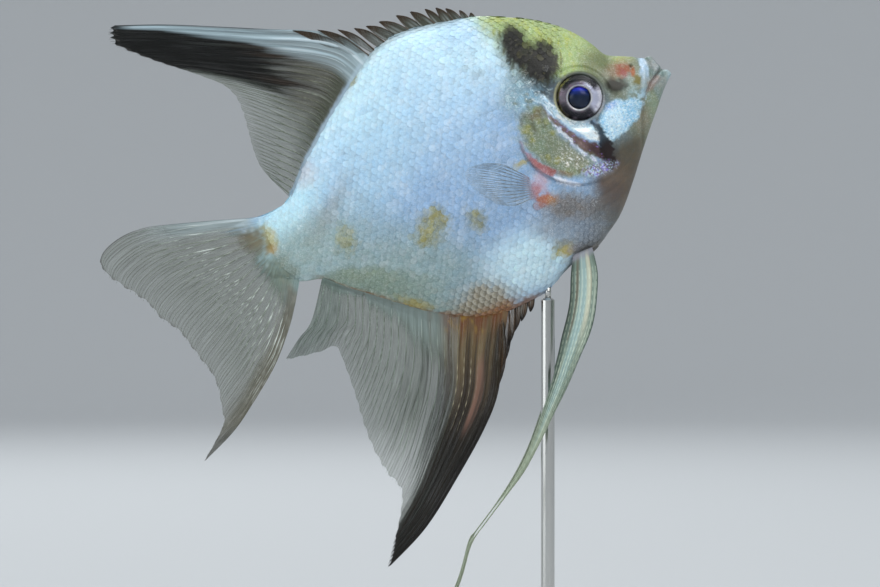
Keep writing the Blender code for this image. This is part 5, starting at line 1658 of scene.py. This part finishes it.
def pectoral_paint(u, v, place, bright=None):
    veil = plain(u, 196, 206, 210)
    cover = 0.05 + 0.03 * ease(v, 0.5, 1.0)
    root = ease(v, 0.22, 0.02)
    lay(veil, 0.6 * root, 202, 184, 196)
    cover = np.maximum(cover, 0.14 * root)
    if bright is None:
        return veil, cover
    ray = lay(plain(u, 108, 116, 118), 0.4 * bright, 176, 188, 192)
    return lay(ray, 0.6 * root, 200, 184, 200), 0.2 * bright


for hand, label in ((1.0, "left"), (-1.0, "right")):
    def pectoral_side(u, v):
        root = half_width_at(48.0 - 0.4 * u, -7.2 - 3.8 * u)
        return hand * (root - 0.1 + 7.4 * v ** 0.8)

    make_fin("pectoral_%s_" + label, "pectoral_fin_" + label, "fin_cream", pectoral_sheet,
             pectoral_side, pectoral_paint, 12, 0.085,
             dict(root=0.9, hollow=0.05, rows=30, thin=0.10), forks=(0.35, 0.65), steps=34)

# ---------------------------------------------------------------- pelvic fins
# Two long streamers under the throat: a stiff front ray and a bundle of soft ones that
# draw together into a thread, cream with blue-grey between the rays.
PELVIC_REAR = [
    (50, -23.2), (48.2, -26.5), (46.4, -30.3), (44.6, -33.1), (42.3, -36.1), (40.3, -38.9),
    (37.6, -42.3), (33.1, -47.4), (28.8, -52), (24.4, -55.8), (19.3, -59.3), (13.6, -62.6),
    (11.8, -63.7), (7.1, -69.4), (-1.6, -77.6)]
PELVIC_FRONT = [
    (53.8, -23.2), (52.9, -27.7), (51.2, -31.4), (49.1, -35), (46.9, -37.7), (43.8, -40.6),
    (39.7, -44.5), (35.3, -48.2), (31.3, -51.6), (26.5, -55.4), (22.2, -57.9), (16.7, -61),
    (12.4, -63.8), (7.5, -69.6), (-1.2, -77.7)]
PELVIC_OUT = [(0, 1.5), (0.15, 2.8), (0.45, 4.6), (0.75, 4.4), (1, 3.4)]


def pelvic_paint(u, v, place, bright=None):
    threads = strands(u, v, 16, 6.0, 53)
    broad = strands(u, v, 6, 9.0, 54)
    veil = plain(u, 138, 158, 146)
    lay(veil, 0.6 * ease(threads, 0.5, 0.3), 92, 108, 98)
    lay(veil, 0.8 * ease(v, 0.30, 0.50), 178, 190, 164)
    side = ease(np.abs(u - 0.48 + 0.16 * (broad - 0.5)), 0.34, 0.46) * ease(v, 0.60, 0.20)
    lay(veil, 0.75 * side, 70, 84, 72)
    tan = ease(np.abs(u - 0.76), 0.09, 0.03) * ease(v, 0.55, 0.25) * ease(broad, 0.35, 0.55)
    lay(veil, 0.6 * tan, 122, 104, 84)
    blue = ease(np.abs(u - 0.52 + 0.16 * (broad - 0.5)), 0.24, 0.06) * ease(v, 0.55, 0.35)
    lay(veil, 0.80 * blue, 184, 212, 210)
    cream = ease(np.abs(u - 0.32), 0.12, 0.04) * ease(v, 0.26, 0.12)
    lay(veil, 0.9 * cream, 224, 220, 194)
    lay(veil, 0.7 * ease(threads, 0.54, 0.72) * (1 - side), 216, 226, 206)
    lay(veil, 0.5 * ease(threads, 0.42, 0.25) * ease(v, 0.35, 0.55), 122, 136, 106)
    lay(veil, 0.8 * ease(v + 0.02 * (threads - 0.5), 0.022, 0.008), 168, 166, 178)
    cover = 0.86 + 0 * u
    if bright is None:
        return veil, cover
    ray = lay(veil, 0.25, 188, 198, 178)
    return lay(ray, 0.12 * bright * (1 - side), 222, 230, 216), 0.1 * bright


for hand, label, lead in ((1.0, "left", 0.0), (-1.0, "right", -0.1)):
    front = [(s + lead, t) for s, t in PELVIC_FRONT]
    rear = [(s + lead, t) for s, t in PELVIC_REAR]
    pelvic_sheet = fan([front[0], rear[0]], [front[-1], rear[-1]], front, rear)

    def pelvic_side(u, v):
        return hand * (np.interp(v, *np.transpose(PELVIC_OUT)) + 0.25 * np.sin(3.1 * u))

    make_fin("pelvic_%s_" + label, "pelvic_fin_" + label, "fin_cream", pelvic_sheet,
             pelvic_side, pelvic_paint, 8, 0.17,
             dict(hollow=0.0, rows=150, pleat=0.10, thin=0.26, flesh=0.05, gather=1.0),
             forks=(0.9, 0.95), steps=150, pleat=0.10)
